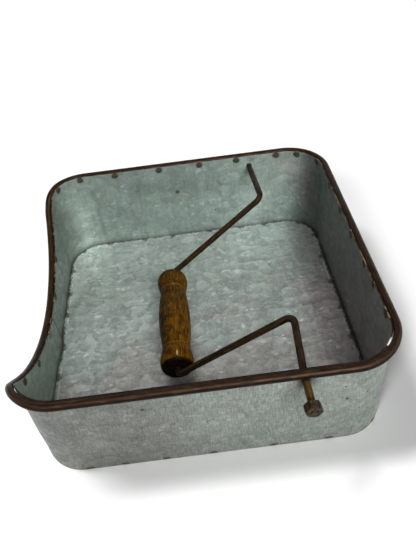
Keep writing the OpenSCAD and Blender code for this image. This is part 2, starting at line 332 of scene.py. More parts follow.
def feed(node: bpy.types.Node, inlets: dict) -> None:
    """Links or sets inlets of a node.

    Args:
        node: The node.
        inlets: An outlet, number, colour or vector for each named or numbered inlet.
    """
    for key, value in inlets.items():
        inlet = node.inputs[key]
        if isinstance(value, Outlet):
            inlet.id_data.links.new(value.socket, inlet)
        elif inlet.type == "RGBA" and len(value) == 3:
            inlet.default_value = (*value, 1.0)
        else:
            inlet.default_value = value


def add_node(
    tree: bpy.types.NodeTree, kind: str, inlets: dict, outlet: int | str = 0, **settings: object
) -> "Outlet":
    """Adds a shader node.

    Args:
        tree: The tree that takes it.
        kind: The node's type, without its ShaderNode beginning.
        inlets: What feeds its inlets.
        outlet: The outlet to hand back.
        **settings: The node's own options.

    Returns:
        The outlet.
    """
    node = tree.nodes.new("ShaderNode" + kind)
    for key, value in settings.items():
        setattr(node, key, value)
    feed(node, inlets)
    return Outlet(node.outputs[outlet])


def maths(operation: str, swapped: bool = False) -> Callable[..., "Outlet"]:
    """Makes an operator of outlets that adds a Math node.

    Args:
        operation: The node's operation.
        swapped: Whether the outlet is the second of the two values.

    Returns:
        The operator.
    """

    def apply(self: "Outlet", other: object = 0.0) -> "Outlet":
        """Adds the Math node."""
        ends = (other, self) if swapped else (self, other)
        return self.add("Math", dict(enumerate(ends)), operation=operation)

    return apply


@dataclass(frozen=True)
class Outlet:
    """An outlet in a shader tree: sums on it, and its methods, add nodes to that tree."""

    socket: bpy.types.NodeSocket

    __add__, __radd__ = maths("ADD"), maths("ADD", swapped=True)
    __sub__, __rsub__ = maths("SUBTRACT"), maths("SUBTRACT", swapped=True)
    __mul__ = maths("MULTIPLY")
    __truediv__, __rtruediv__ = maths("DIVIDE"), maths("DIVIDE", swapped=True)
    __abs__ = maths("ABSOLUTE")
    maximum = maths("MAXIMUM")

    @property
    def tree(self) -> bpy.types.NodeTree:
        """The tree that the outlet is in."""
        return self.socket.id_data

    def add(
        self, kind: str, inlets: dict, outlet: int | str = 0, **settings: object
    ) -> "Outlet":
        """Adds a node to the same tree."""
        return add_node(self.tree, kind, inlets, outlet, **settings)

    def beside(self, name: str) -> "Outlet":
        """Another outlet of the same node."""
        return Outlet(self.socket.node.outputs[name])

    def clamped(self) -> "Outlet":
        """Holds the sum that was just added between 0 and 1."""
        self.socket.node.use_clamp = True
        return self

    def scaled(self, factor: object) -> "Outlet":
        """Adds a scaling of a vector or colour."""
        return self.add("VectorMath", {0: self, "Scale": factor}, operation="SCALE")

    def vectors(self, operation: str, other: object, outlet: str = "Vector") -> "Outlet":
        """Adds a vector sum of this and another, such as SUBTRACT or DISTANCE."""
        return self.add("VectorMath", {0: self, 1: other}, outlet, operation=operation)

    def remap(
        self, low: float, high: float, to_low: float = 0.0, to_high: float = 1.0
    ) -> "Outlet":
        """Adds a smooth, clamped change of range.

        Args:
            low: Value that becomes to_low.
            high: Value that becomes to_high.
            to_low: The new value at low.
            to_high: The new value at high.

        Returns:
            The changed value.
        """
        inlets = {"Value": self, "From Min": low, "From Max": high}
        inlets |= {"To Min": to_low, "To Max": to_high}
        return self.add("MapRange", inlets, interpolation_type="SMOOTHSTEP")

    def noise(self, size: float, detail: float = 3.0) -> "Outlet":
        """Adds noise at this place whose main features are about size metres wide."""
        return self.add("TexNoise", {"Vector": self, "Scale": 1 / size, "Detail": detail})

    def stretch(self, scale: Colour, offset: Colour = (0, 0, 0)) -> "Outlet":
        """Adds a scaling of a pattern's place along each axis, after a shift."""
        return self.add("Mapping", {"Vector": self, "Location": offset, "Scale": scale})

    def part(self, number: int) -> "Outlet":
        """Adds one coordinate of this place: 0, 1 or 2."""
        return self.add("SeparateXYZ", {0: self}, number)

    def mark(self, name: str) -> "Outlet":
        """Adds the reading of one of the piece's float attributes."""
        return self.add("Attribute", {}, "Fac", attribute_name=name)

    def bump(self, depth: float) -> "Outlet":
        """Adds the normal of this height, for relief of the given depth in metres."""
        return self.add("Bump", {"Strength": 1.0, "Distance": depth, "Height": self})


def mix(share: object, a: object, b: object, blend: str = "MIX") -> Outlet:
    """Adds a mix of two colours, b over a by the given share."""
    source = share if isinstance(share, Outlet) else a
    return source.add("Mix", {0: share, 6: a, 7: b}, 2, data_type="RGBA", blend_type=blend)


def place_in(tree: bpy.types.NodeTree, pattern: Pattern) -> Outlet:
    """Adds the place that a pattern is read at."""
    return add_node(tree, "TexCoord", {}, pattern.value)


def node_group(
    name: str,
    inlets: dict[str, float | None],
    outlets: Sequence[str],
    fill: Callable[[dict[str, Outlet]], Sequence[Outlet]],
) -> bpy.types.NodeTree:
    """Builds a shader node group once and hands it back after that.

    Args:
        name: Name of the group.
        inlets: Default of each named number, or None for a vector.
        outlets: Names of the numbers that come out.
        fill: Adds the nodes, given the inlets by name, and returns the outlets in order.

    Returns:
        The group.
    """
    if name in bpy.data.node_groups:
        return bpy.data.node_groups[name]
    group = bpy.data.node_groups.new(name, "ShaderNodeTree")
    for key, default in inlets.items():
        kind = "NodeSocketVector" if default is None else "NodeSocketFloat"
        socket = group.interface.new_socket(key, in_out="INPUT", socket_type=kind)
        if default is not None:
            socket.default_value = default
    for key in outlets:
        group.interface.new_socket(key, in_out="OUTPUT", socket_type="NodeSocketFloat")
    source = group.nodes.new("NodeGroupInput")
    made = fill({key: Outlet(source.outputs[key]) for key in inlets})
    feed(group.nodes.new("NodeGroupOutput"), dict(zip(outlets, made)))
    return group


def use_group(group: bpy.types.NodeTree, inlets: dict) -> dict[str, Outlet]:
    """Places a group in the tree of its inlet Place.

    Args:
        group: The group.
        inlets: What feeds its named inlets.

    Returns:
        Its outlets by name.
    """
    node = inlets["Place"].tree.nodes.new("ShaderNodeGroup")
    node.node_tree = group
    feed(node, inlets)
    return {socket.name: Outlet(socket) for socket in node.outputs}


def spangle() -> bpy.types.NodeTree:
    """Zinc crystals: plates that each brighten towards one random side, small scales over
    them, broad patches, and a few rounded bright flakes.

    Returns:
        The group.
    """

    def fill(inlet: dict[str, Outlet]) -> Sequence[Outlet]:
        """Adds the crystals' nodes.

        Args:
            inlet: The group's inlets by name.

        Returns:
            Its outlets in order.
        """
        place = inlet["Place"].scaled(1.0 / inlet["Crystal"])
        wobble = place.noise(1 / 0.8, 2.5).beside("Color")
        warped = place.vectors("ADD", wobble.vectors("SUBTRACT", (0.5, 0.5, 0.5)).scaled(1.1))
        plates, chance, _ = crescents(warped, 1.0, 0.24)
        scales, flake_chance, off = crescents(warped, 2.3, 0.1)
        patch = place.noise(1 / 0.45)
        flake = off.remap(0.55, 0.25) * scales.remap(0.45, 0.9)
        flake = flake * flake_chance.remap(0.76, 0.8) * patch.remap(0.42, 0.58)
        return plates, scales, patch, chance, flake

    outlets = ("Plates", "Scales", "Patch", "Second", "Flake")
    return node_group("zinc_spangle", {"Place": None, "Crystal": 6 * MM}, outlets, fill)


def crescents(place: Outlet, scale: float, blur: float) -> tuple[Outlet, ...]:
    """Cells that each go from dark to light along their own random direction, which leans
    towards the pattern's +Y.

    Args:
        place: Where the pattern is read.
        scale: How many cells there are to a unit.
        blur: How softly neighbours meet.

    Returns:
        The tone from 0 to 1, a random value for each cell, and the distance to its middle.
    """
    inlets = {"Vector": place, "Scale": scale, "Smoothness": blur}
    hue = place.add("TexVoronoi", inlets, "Color", feature="SMOOTH_F1")
    way = hue.vectors("SUBTRACT", (0.5, 0.22, 0.5))
    off = place.vectors("SUBTRACT", hue.beside("Position"))
    chance = hue.add("SeparateColor", {0: hue}, 1)
    tone = off.vectors("DOT_PRODUCT", way, "Value") * (1.6 * scale) + 0.5
    return (tone + chance * 0.5 - 0.25).clamped(), chance, hue.beside("Distance")


def blotch() -> bpy.types.NodeTree:
    """Ragged spot: a mask that is 1 inside a distance and breaks up at its edge.

    Returns:
        The group.
    """

    def fill(inlet: dict[str, Outlet]) -> Sequence[Outlet]:
        """Adds the spot's nodes.

        Args:
            inlet: The group's inlets by name.

        Returns:
            Its outlets in order.
        """
        shift = (inlet["Place"].noise(1.6 * MM, 4.0) - 0.5) * inlet["Ragged"]
        gap = inlet["Gap"] + shift
        return [((inlet["Reach"] - gap) / inlet["Soft"]).clamped()]

    inlets = {"Place": None, "Gap": 1.0, "Reach": 2 * MM, "Soft": 0.8 * MM, "Ragged": 2 * MM}
    return node_group("ragged_blotch", inlets, ["Mask"], fill)


def spot(place: Outlet, gap: Outlet, reach: float, soft: float, ragged: float) -> Outlet:
    """Places a ragged spot.

    Args:
        place: Where the pattern is read.
        gap: Distance from the spot's middle or line.
        reach: Distance at which the spot ends.
        soft: Width of its soft edge.
        ragged: How far the edge strays.

    Returns:
        The spot's mask.
    """
    inlets = {"Place": place, "Gap": gap, "Reach": reach, "Soft": soft, "Ragged": ragged}
    return use_group(blotch(), inlets)["Mask"]


def new_material(name: str) -> tuple[bpy.types.Material, bpy.types.Node]:
    """Starts a material.

    Args:
        name: Name of the material.

    Returns:
        The material and its Principled BSDF node.
    """
    material = bpy.data.materials.new(name)
    material.use_nodes = True
    return material, material.node_tree.nodes["Principled BSDF"]


@dataclass(frozen=True)
class LightWash:
    """Painted light and shade on a sheet: a broad change of lightness along an axis, from one
    place to another.
    """

    axis: Colour
    ends: tuple[float, float]
    colour: Colour
    ragged: float = 24 * MM


@dataclass(frozen=True)
class ZincFinish:
    """Old galvanised sheet: dull crystals, soft tints, handling marks and stains, with painted
    light, shade and reflection washed over it, and painted shade on the dent's crease, behind
    the lap and under the grip.
    """

    name: str
    pattern: Pattern
    base: Colour
    tint: Colour
    lilac: Colour
    contrast: tuple[float, float, float, float]
    tint_axis: Colour
    tint_ends: tuple[float, float] = (-100 * MM, 90 * MM)
    light_washes: tuple[LightWash, ...] = ()
    flake: Colour = shade_of(196, 204, 199)
    violet: Colour = (1.0, 0.955, 0.985)
    offset: Colour = (0.0, 0.0, 0.0)
    drawn: Colour = (1.0, 1.0, 1.0)
    crystal: float = 9 * MM
    flakes: float = 0.5
    streaks: float = 0.0
    brushed: float = 0.0
    scratches: float = 0.0
    roughness: float = 0.42
    metallic: float = 0.35
    relief: float = 0.07 * MM
    burn: Colour = shade_of(62, 63, 56)
    rust: Colour = shade_of(58, 44, 30)
    burn_mark: str = ""
    burn_reach: float = 2.9 * MM
    crease_shade: bool = False
    seam_marks: bool = False
    top_stain: float = 0.0
    foot_darkening: float = 0.0
    lap_shadow_at: float | None = None
    specks: tuple[tuple[float, float, float], ...] = ()
    pale: tuple[tuple[float, float, float], ...] = ()
    # A painted shadow and dark patches: place, radius and share of each.
    shadows_and_smudges: tuple[tuple[float, float, float, float], ...] = ()

    def make(self) -> bpy.types.Material:
        """Builds the material.

        Returns:
            The finished material.
        """
        material, shader = new_material(self.name)
        place = place_in(material.node_tree, self.pattern)
        shifted = place.stretch((1, 1, 1), self.offset)
        drawn = place.stretch(self.drawn, self.offset)
        crystals = use_group(spangle(), {"Place": drawn, "Crystal": self.crystal})
        colour = self.cast(shifted, crystals).scaled(self.level(shifted, crystals))
        colour = mix(crystals["Flake"] * self.flakes, colour, self.flake)
        tone = crystals["Plates"] + crystals["Scales"]
        rough = tone.remap(0.4, 1.6, self.roughness + 0.08, self.roughness - 0.06)
        metal: object = self.metallic
        for stain, stain_colour in self.stains(place):
            colour = mix(stain, colour, stain_colour)
            rough = (rough + stain * 0.25).clamped()
            metal = (metal - stain * 0.5).clamped()
        height = tone + crystals["Flake"] + shifted.noise(1.1 * MM, 4.0)
        if self.scratches:
            height = height - self.scratch_lines(place) * 1.6
        feed(shader, {"Base Color": colour, "Roughness": rough, "Metallic": metal})
        feed(shader, {"Normal": height.bump(self.relief)})
        return material

    def level(self, place: Outlet, crystals: dict[str, Outlet]) -> Outlet:
        """How light the zinc is at each place: 1 plus what each pattern adds or takes,
        times the streaks and the brush marks up and along the sheet.

        Args:
            place: Where the pattern is read.
            crystals: Outlets of the crystals' group.

        Returns:
            The lightness.
        """
        patterns = [crystals[name] for name in ("Plates", "Scales", "Patch")]
        level: object = 1.0
        for pattern, strength in zip([*patterns, place.noise(1.0 * MM, 2.0)], self.contrast):
            level = level + (pattern - 0.5) * (2 * strength)
        wear = (
            (self.streaks, (1.0, 0.09, 1.0), 2.6 * MM),
            (self.brushed, (1.0, 0.12, 1.0), 0.7 * MM),
            (0.4 * self.brushed, (0.12, 1.0, 1.0), 0.7 * MM),
        )
        for amount, scale, size in wear:
            if amount:
                run = place.stretch(scale).noise(size, 4.0)
                level = level * run.remap(0.3, 0.7, 1 - amount, 1 + amount)
        return level

    def cast(self, place: Outlet, crystals: dict[str, Outlet]) -> Outlet:
        """The zinc's colour at each place: a drift between two tints, and the washes of painted
        light, shade and reflection.

        Args:
            place: Where the pattern is read.
            crystals: Outlets of the crystals' group.

        Returns:
            The colour.
        """
        solid = place_in(place.tree, Pattern.OBJECT)
        along = solid.vectors("DOT_PRODUCT", self.tint_axis, "Value")
        share = along.remap(*self.tint_ends, 0.0, 0.6) + -0.3 + place.noise(38 * MM)
        colour = mix(share.remap(0.36, 0.64), self.lilac, self.tint)
        violet = crystals["Second"].remap(0.5, 0.95) * 0.7
        colour = mix(violet, colour, self.violet, "MULTIPLY")
        ragged = place.noise(24 * MM, 4.0) - 0.5
        # The washes paint light, shade and one reflection: each makes the sheet lighter or
        # darker by place.
        for light_wash in self.light_washes:
            along = solid.vectors("DOT_PRODUCT", light_wash.axis, "Value") + ragged * light_wash.ragged
            relit = mix(1.0, colour, light_wash.colour, "MULTIPLY")
            colour = mix(along.remap(*light_wash.ends), colour, relit)
        return mix(1.0, colour, self.base, "MULTIPLY")

    def stains(self, place: Outlet) -> list[tuple[Outlet, Colour]]:
        """Burnt, rusty and dirty places, dark patches, and painted shade and shadow, each as a
        mask with its colour.

        Args:
            place: Where the pattern is read.

        Returns:
            Masks and colours, from the lowest layer up.
        """
        found = []
        if self.burn_mark:
            gap = place.mark(self.burn_mark)
            halo = spot(place, gap, self.burn_reach + 0.9 * MM, 2.0 * MM, 3.2 * MM)
            core = spot(place, gap, self.burn_reach, 1.1 * MM, 2.6 * MM)
            mottled = place.noise(1.3 * MM).remap(0.35, 0.6, 0.45, 0.9)
            found += [(halo * 0.4, self.burn), (core * mottled, self.burn)]
        if self.crease_shade:
            # Painted shade: a darker line along the dent's crease.
            line = abs(place.mark("crease_off")).remap(0.55 * MM, 0.15 * MM)
            found.append((line * 0.5, self.burn))
        if self.scratches:
            found.append((self.scratch_lines(place), SCRATCH_GREY))
        if self.top_stain:
            below = spot(place, place.mark("below_edge"), self.top_stain, 0.5 * MM, 1.2 * MM)
            found.append((below, self.rust))
        if self.foot_darkening:
            # Darker along the bottom millimetre of the outside, broken up by noise.
            low = place.part(1).remap(1.0 * MM, 0.3 * MM) * place.noise(9 * MM).remap(0.4, 0.6)
            found.append((low * self.foot_darkening, self.burn))
        if self.lap_shadow_at is not None:
            # Painted shadow: a dark line in the rust colour just behind the lap's step.
            line = abs(place.part(0) - self.lap_shadow_at).remap(0.9 * MM, 0.4 * MM)
            found.append((line * 0.85, self.rust))
        if self.seam_marks:
            found += self.seam(place)
        spots = [(*speck, 0.4 * MM, 0.9, self.rust) for speck in self.specks]
        spots += [(*drip, 0.8 * MM, 0.8, PALE_DRIP) for drip in self.pale]
        # Dark patches: a painted shadow under the grip on the floor, and dark patches by the
        # arm's holes on the wall.
        spots += [(*dark_patch[:3], 0.7 * dark_patch[2], dark_patch[3], SHADOW_AND_SMUDGE) for dark_patch in self.shadows_and_smudges]
        for u, v, radius, soft, share, colour in spots:
            gap = place.vectors("DISTANCE", (u, v, 0), "Value")
            found.append((spot(place, gap, radius, soft, 0.8 * radius) * share, colour))
        return found

    def scratch_lines(self, place: Outlet) -> Outlet:
        """Sparse thin lines: where one noise crosses its middle value, and only where
        another one is high.

        Args:
            place: Where the pattern is read.

        Returns:
            The lines' mask.
        """
        field = place.stretch((0.7, 1.4, 1.0)).noise(18 * MM, 2.0)
        line = abs(field - 0.5).remap(0.013, 0.003)
        return line * place.noise(15 * MM).remap(0.5, 0.64) * self.scratches

    def seam(self, place: Outlet) -> list[tuple[Outlet, Colour]]:
        """Dirt and rust along the seam between the floor and the wall.

        Args:
            place: Where the pattern is read.

        Returns:
            Masks and colours.
        """
        edge = place.mark("edge_gap")
        broken = place.noise(11 * MM, 4.0).remap(0.34, 0.48)
        dirt = spot(place, edge, 2.5 * MM, 1.1 * MM, 5.0 * MM) * broken * 0.9
        fold = abs(edge - 3.1 * MM).remap(0.8 * MM, 0.0) * place.noise(7 * MM).remap(0.45, 0.6)
        rust = spot(place, place.mark("seam_weld_gap"), 3.5 * MM, 1.3 * MM, 5.4 * MM)
        return [(fold * 0.55, self.flake), (dirt, SEAM_DIRT), (rust * 0.8, SEAM_RUST)]


@dataclass(frozen=True)
class RustFinish:
    """Brown iron under thin wax: mottled rust with paler streaks along the run; where asked, a
    painted shade on the underside with a painted highlight line above it, and a bright bare
    patch that is partly a painted glint.
    """

    name: str
    body: Colour
    deep: Colour
    worn: Colour
    along: Colour = (0.12, 1.0, 1.0)
    mottle: float = 2.4 * MM
    mottle_along: Colour = (0.25, 1.0, 1.0)
    worn_share: float = 0.35
    roughness: float = 0.36
    metallic: float = 0.3
    gloss: float = 0.08
    relief: float = 0.06 * MM
    golden: Colour | None = None
    light: Colour | None = None
    dark_middle: tuple[float, float, float] = (585 * MM, 95 * MM, 125 * MM)
    # Run and reach of a bright bare patch, partly worn metal and partly a painted glint.
    bare_glint: tuple[float, float] | None = None
    # Girth below which the wire is painted in shade, with a painted highlight line just above
    # it.
    shade_below: float | None = None

    def make(self) -> bpy.types.Material:
        """Builds the material.

        Returns:
            The finished material.
        """
        material, shader = new_material(self.name)
        place = place_in(material.node_tree, Pattern.OBJECT)
        surface = place_in(material.node_tree, Pattern.SURFACE)
        mottle = surface.stretch(self.mottle_along).noise(self.mottle, 6.0)
        streak = surface.stretch(self.along).noise(0.9 * MM, 4.0)
        colour = mix(mottle.remap(0.35, 0.65), self.deep, self.body)
        worn = streak.remap(0.5, 0.72) * self.worn_share * place.noise(9 * MM).remap(0.3, 0.6)
        colour = mix(worn, colour, self.worn)
        if self.golden:
            thread = place.mark("thread") * mottle.remap(0.3, 0.6) * 0.8
            colour = mix(thread, colour, self.golden)
        pits = place.noise(0.7 * MM).remap(0.60, 0.74)
        colour = mix(pits * 0.7, colour, self.deep)
        rough = mottle.remap(0.3, 0.7, self.roughness + 0.14, self.roughness - 0.06)
        metal: object = self.metallic
        if self.light:
            middle, near, far = self.dark_middle
            share = abs(surface.part(0) - middle).remap(near, far) * streak
            colour = mix(share.remap(0.48, 0.66), colour, self.light)
        # Painted shade and highlight: below the given girth the wire is darkened to near black,
        # and a thin paler line runs just above it.
        if self.shade_below:
            girth = surface.part(1)
            painted_crest_highlight = abs(girth - (self.shade_below + 1.1 * MM)).remap(0.8 * MM, 0.2 * MM, 0.0, 0.16)
            low = girth.remap(self.shade_below + 0.5 * MM, self.shade_below - 0.4 * MM, 0.0, 0.85)
            colour = mix(low, mix(painted_crest_highlight, colour, self.worn), PAINTED_UNDERSIDE_SHADE)
        # A bright bare-metal patch with low roughness: partly worn metal, partly a painted
        # glint.
        if self.bare_glint:
            middle, reach = self.bare_glint
            off = abs(surface.part(0) - middle) + place.noise(1.5 * MM) * (4 * MM)
            bare_glint = off.remap(reach + 2 * MM, reach)
            colour = mix(bare_glint, colour, BARE_GLINT_METAL)
            metal = bare_glint.maximum(self.metallic)
            rough = rough * bare_glint.remap(0.0, 1.0, 1.0, 0.4)
        feed(shader, {"Base Color": colour, "Roughness": rough, "Metallic": metal})
        height = mottle + streak - pits
        feed(shader, {"Specular IOR Level": self.gloss, "Normal": height.bump(self.relief)})
        return material


@dataclass(frozen=True)
class WoodFinish:
    """Turned hardwood under old dark stain: fine grain along the axis, nearly black ends of
    dark end grain and painted shade, dirt from handling that is heavier towards -X as painted
    shade, and honey-coloured places where the stain has worn thin, more of them towards +X as
    painted light."""

    name: str = "turned_wood"
    honey: Colour = shade_of(106, 69, 8)
    body: Colour = shade_of(76, 52, 15)
    dirt: Colour = shade_of(38, 26, 9)
    fibre: Colour = shade_of(134, 92, 24)
    # Nearly black colour of the ends: dark end grain and painted shade.
    end_grain_and_shade: Colour = shade_of(5, 5, 2)
    middle: tuple[float, float] = (-18.4 * MM, -7.3 * MM)
    # Where the painted glint sits on the front bead.
    glint_at: Colour = (-17.1 * MM, -44.7 * MM, 26.1 * MM)
    end_band: float = 2.2 * MM
    gloss: float = 0.03
    relief: float = 0.09 * MM

    def make(self) -> bpy.types.Material:
        """Builds the material: the wood is lighter towards +X, which is painted light, and the
        stain wears towards the front and the two beads, with a painted glint on the front bead.

        Returns:
            The finished material.
        """
        material, shader = new_material(self.name)
        place = place_in(material.node_tree, Pattern.OBJECT)
        across = place.part(0) - self.middle[0]
        towards = self.middle[1] - place.part(1)
        beads = abs(towards).remap(18 * MM, 34 * MM, 0.0, 0.3)
        # Painted light: the wood is lighter towards +X, the lit side; it is also worn lighter
        # towards the front and the beads.
        lit_side_and_wear = across * 13.0 + towards * 7.5 + beads
        worn = place.stretch((1.0, 0.5, 1.0)).noise(11 * MM, 5.0) + lit_side_and_wear
        colour = mix(worn.remap(0.46, 0.8), self.body, self.honey)
        grain = place.stretch((1.0, 0.07, 1.0)).noise(0.8 * MM, 4.0)
        colour = mix(grain.remap(0.48, 0.6, 0.0, 0.78), colour, self.dirt)
        fibre = place.stretch((1.0, 0.1, 1.0), (9 * MM, 0, 0)).noise(0.7 * MM)
        colour = mix(fibre.remap(0.52, 0.66, 0.0, 0.5), colour, self.fibre)
        # Handling dirt in blotches, heavier towards -X as painted shade on the grip's shaded
        # side.
        handling_dirt_and_shade = place.noise(5 * MM, 6.0).remap(0.44, 0.64)
        handling_dirt_and_shade = handling_dirt_and_shade * across.remap(-9 * MM, 4 * MM, 0.95, 0.5)
        colour = mix(handling_dirt_and_shade, colour, self.dirt)
        # Painted highlight: a small glint on the front bead.
        away = place.vectors("SUBTRACT", self.glint_at).stretch((1.0, 0.3, 1.0))
        away = away.add("VectorMath", {0: away}, "Value", operation="LENGTH")
        colour = mix(away.remap(0.9 * MM, 0.3 * MM, 0.0, 0.6), colour, PAINTED_GLINT)
        # Nearly black ends: dark end grain and painted shade.
        dark_ends = spot(place, place.mark("end_gap"), self.end_band, 1.2 * MM, 2 * MM)
        colour = mix(dark_ends * 0.96, colour, self.end_grain_and_shade)
        colour = mix(place.mark("groove") * 0.5, colour, SCRIBE_DUST)
        fine = place.stretch((1.0, 0.12, 1.0)).noise(0.5 * MM)
        feed(shader, {"Base Color": colour, "Roughness": grain.remap(0.3, 0.7, 0.34, 0.5)})
        bump = (grain + fine).bump(self.relief)
        feed(shader, {"Specular IOR Level": self.gloss, "Normal": bump})
        return material


class Finishes:
    """The finishes of the tray's sheet, wire, rod, grip and nuts."""

    def __init__(self) -> None:
        """Builds each material once."""
        self.wall_outside = ZincFinish(
            "zinc_wall_outside", Pattern.SURFACE, shade_of(120, 123, 118),
            tint=(1.02, 1.1, 1.06), lilac=(0.87, 0.88, 0.865),
            contrast=(0.13, 0.1, 0.26, 0.5), tint_axis=(1.0, 0.0, 0.0),
            # Painted shade: the outside is darker towards -X, away from the key light, and its
            # base is set darker than the inside's.
            light_washes=(LightWash((-1.0, 0.0, 0.0), (-10 * MM, 60 * MM), (0.78, 0.79, 0.775)),),
            offset=(0.31, 0.2, 0.0), flakes=0.15, brushed=0.24, scratches=0.75,
            burn=shade_of(64, 57, 47), rust=shade_of(40, 26, 13),
            # The dark line on the dent's crease is painted shade.
            burn_mark="foot_weld_gap", burn_reach=2.0 * MM, crease_shade=True,
            top_stain=2.8 * MM, foot_darkening=0.6,
            specks=(
                (0.6161, 0.0539, 1.3 * MM), (0.5072, 0.0399, 1.3 * MM),
                (0.5086, 0.0513, 0.8 * MM), (0.5184, 0.0367, 0.7 * MM),
                (0.4991, 0.0283, 0.7 * MM), (0.4958, 0.0419, 0.8 * MM),
            ),
            # Dark patches round the front hole.
            shadows_and_smudges=((0.5303, 0.0605, 9 * MM, 0.7), (0.5303, 0.0605, 5.5 * MM, 0.9)),
        ).make()
        self.wall_inside = ZincFinish(
            "zinc_wall_inside", Pattern.SURFACE, shade_of(137, 139, 134),
            tint=(0.86, 1.04, 1.0), lilac=(0.90, 0.91, 0.89),
            contrast=(0.13, 0.1, 0.36, 0.2), tint_axis=(-0.8, 0.6, 0.0),
            tint_ends=(-110 * MM, 60 * MM),
            # Painted light and shade: lighter and darker zones by place, as the key light falls
            # on the walls, with the right wall much darker.
            light_washes=(
                LightWash((1.0, 0.0, 0.0), (10 * MM, 55 * MM), (1.36, 1.35, 1.37)),
                LightWash((-1.0, 0.0, 0.0), (73 * MM, 76 * MM), (1.14, 1.13, 1.13), 4 * MM),
                LightWash((1.0, 0.0, 0.0), (84 * MM, 98 * MM), (0.40, 0.38, 0.39), 8 * MM),
                LightWash((-1.0, 0.0, 0.0), (90 * MM, 101 * MM), (0.70, 0.70, 0.66), 8 * MM),
                LightWash((0.0, -1.0, 0.0), (15 * MM, 85 * MM), (1.48, 1.5, 1.48)),
            ),
            flakes=0.3, streaks=0.06, brushed=0.05, scratches=0.2,
            burn=shade_of(74, 72, 62), burn_mark="rim_weld_gap", burn_reach=3.2 * MM,
            # Where the painted shadow behind the lap's step runs.
            lap_shadow_at=-0.5 * MM,
            specks=((0.1867, 0.0464, 2.0 * MM), (0.2155, 0.024, 0.9 * MM)),
            pale=((0.0558, 0.0271, 1.6 * MM), (0.0369, 0.0214, 1.9 * MM)),
            # A dark patch near the back hole.
            shadows_and_smudges=((0.2475, 0.0683, 4.0 * MM, 0.4),),
        ).make()
        self.floor = ZincFinish(
            "zinc_floor", Pattern.OBJECT, shade_of(160, 162, 158),
            tint=(0.94, 1.05, 1.01), lilac=(0.97, 0.95, 0.935),
            contrast=(0.2, 0.14, 0.24, 0.36), tint_axis=(-0.35, 0.94, 0.0),
            tint_ends=(-90 * MM, 60 * MM),
            # Painted light and a painted reflection: lighter towards the back, the back corners
            # and the front, and darker beyond x = 80 mm, where the dark right wall is painted
            # in as a reflection.
            light_washes=(
                LightWash((0.0, 1.0, 0.0), (35 * MM, 90 * MM), (1.27, 1.25, 1.28)),
                LightWash((1.0, 0.35, 0.0), (75 * MM, 100 * MM), (1.14, 1.14, 1.15)),
                LightWash((1.0, 0.0, 0.0), (77 * MM, 81 * MM), (0.86, 0.81, 0.84), 5 * MM),
                LightWash((-1.0, 0.5, 0.0), (108 * MM, 118 * MM), (1.25, 1.25, 1.24), 8 * MM),
                LightWash((0.0, -1.0, 0.0), (70 * MM, 95 * MM), (1.12, 1.12, 1.12)),
            ),
            drawn=(0.9, 1.0, 1.0), flake=shade_of(214, 222, 218), flakes=0.6, brushed=0.04,
            roughness=0.36, metallic=0.42, seam_marks=True,
            specks=(
                (0.0358, 0.0850, 1.0 * MM), (0.0508, 0.0917, 0.9 * MM),
                (0.0159, -0.0107, 0.9 * MM), (-0.031, 0.052, 0.6 * MM),
                (-0.0519, -0.0275, 1.1 * MM),
            ),
            # Painted shadow under the grip's near end.
            shadows_and_smudges=((-0.0150, -0.0560, 13 * MM, 0.75),),
        ).make()
        self.sheet_edge = RustFinish(
            "cut_sheet_edge", shade_of(44, 30, 16), shade_of(24, 15, 8), shade_of(78, 62, 46),
            # The bare patch at the near-right corner is partly a painted glint.
            light=shade_of(128, 108, 76), bare_glint=(0.4812, 3.4 * MM),
        ).make()
        self.wire = RustFinish(
            "rusted_wire", shade_of(47, 30, 14), shade_of(25, 15, 7), shade_of(92, 71, 55),
            # Painted shade on the wire's underside, and a painted highlight line above it.
            worn_share=0.45, shade_below=8.5 * MM,
        ).make()
        self.rod = RustFinish(
            "rusted_rod", shade_of(47, 32, 15), shade_of(21, 14, 7), shade_of(104, 82, 52),
            worn_share=0.45, golden=shade_of(74, 58, 20),
        ).make()
        self.nut = RustFinish(
            "oxide_nut", shade_of(62, 51, 36), shade_of(30, 22, 13), shade_of(100, 88, 68),
            along=(1.0, 1.0, 1.0), mottle_along=(1.0, 1.0, 1.0), mottle=1.6 * MM, roughness=0.5,
        ).make()
        self.weld = RustFinish(
            "burnt_weld", shade_of(76, 74, 64), shade_of(46, 42, 34), shade_of(108, 108, 98),
            along=(1.0, 1.0, 1.0), mottle_along=(1.0, 1.0, 1.0), mottle=1.2 * MM, roughness=0.6,
        ).make()
        self.wood = WoodFinish().make()


# ---- The tray ----


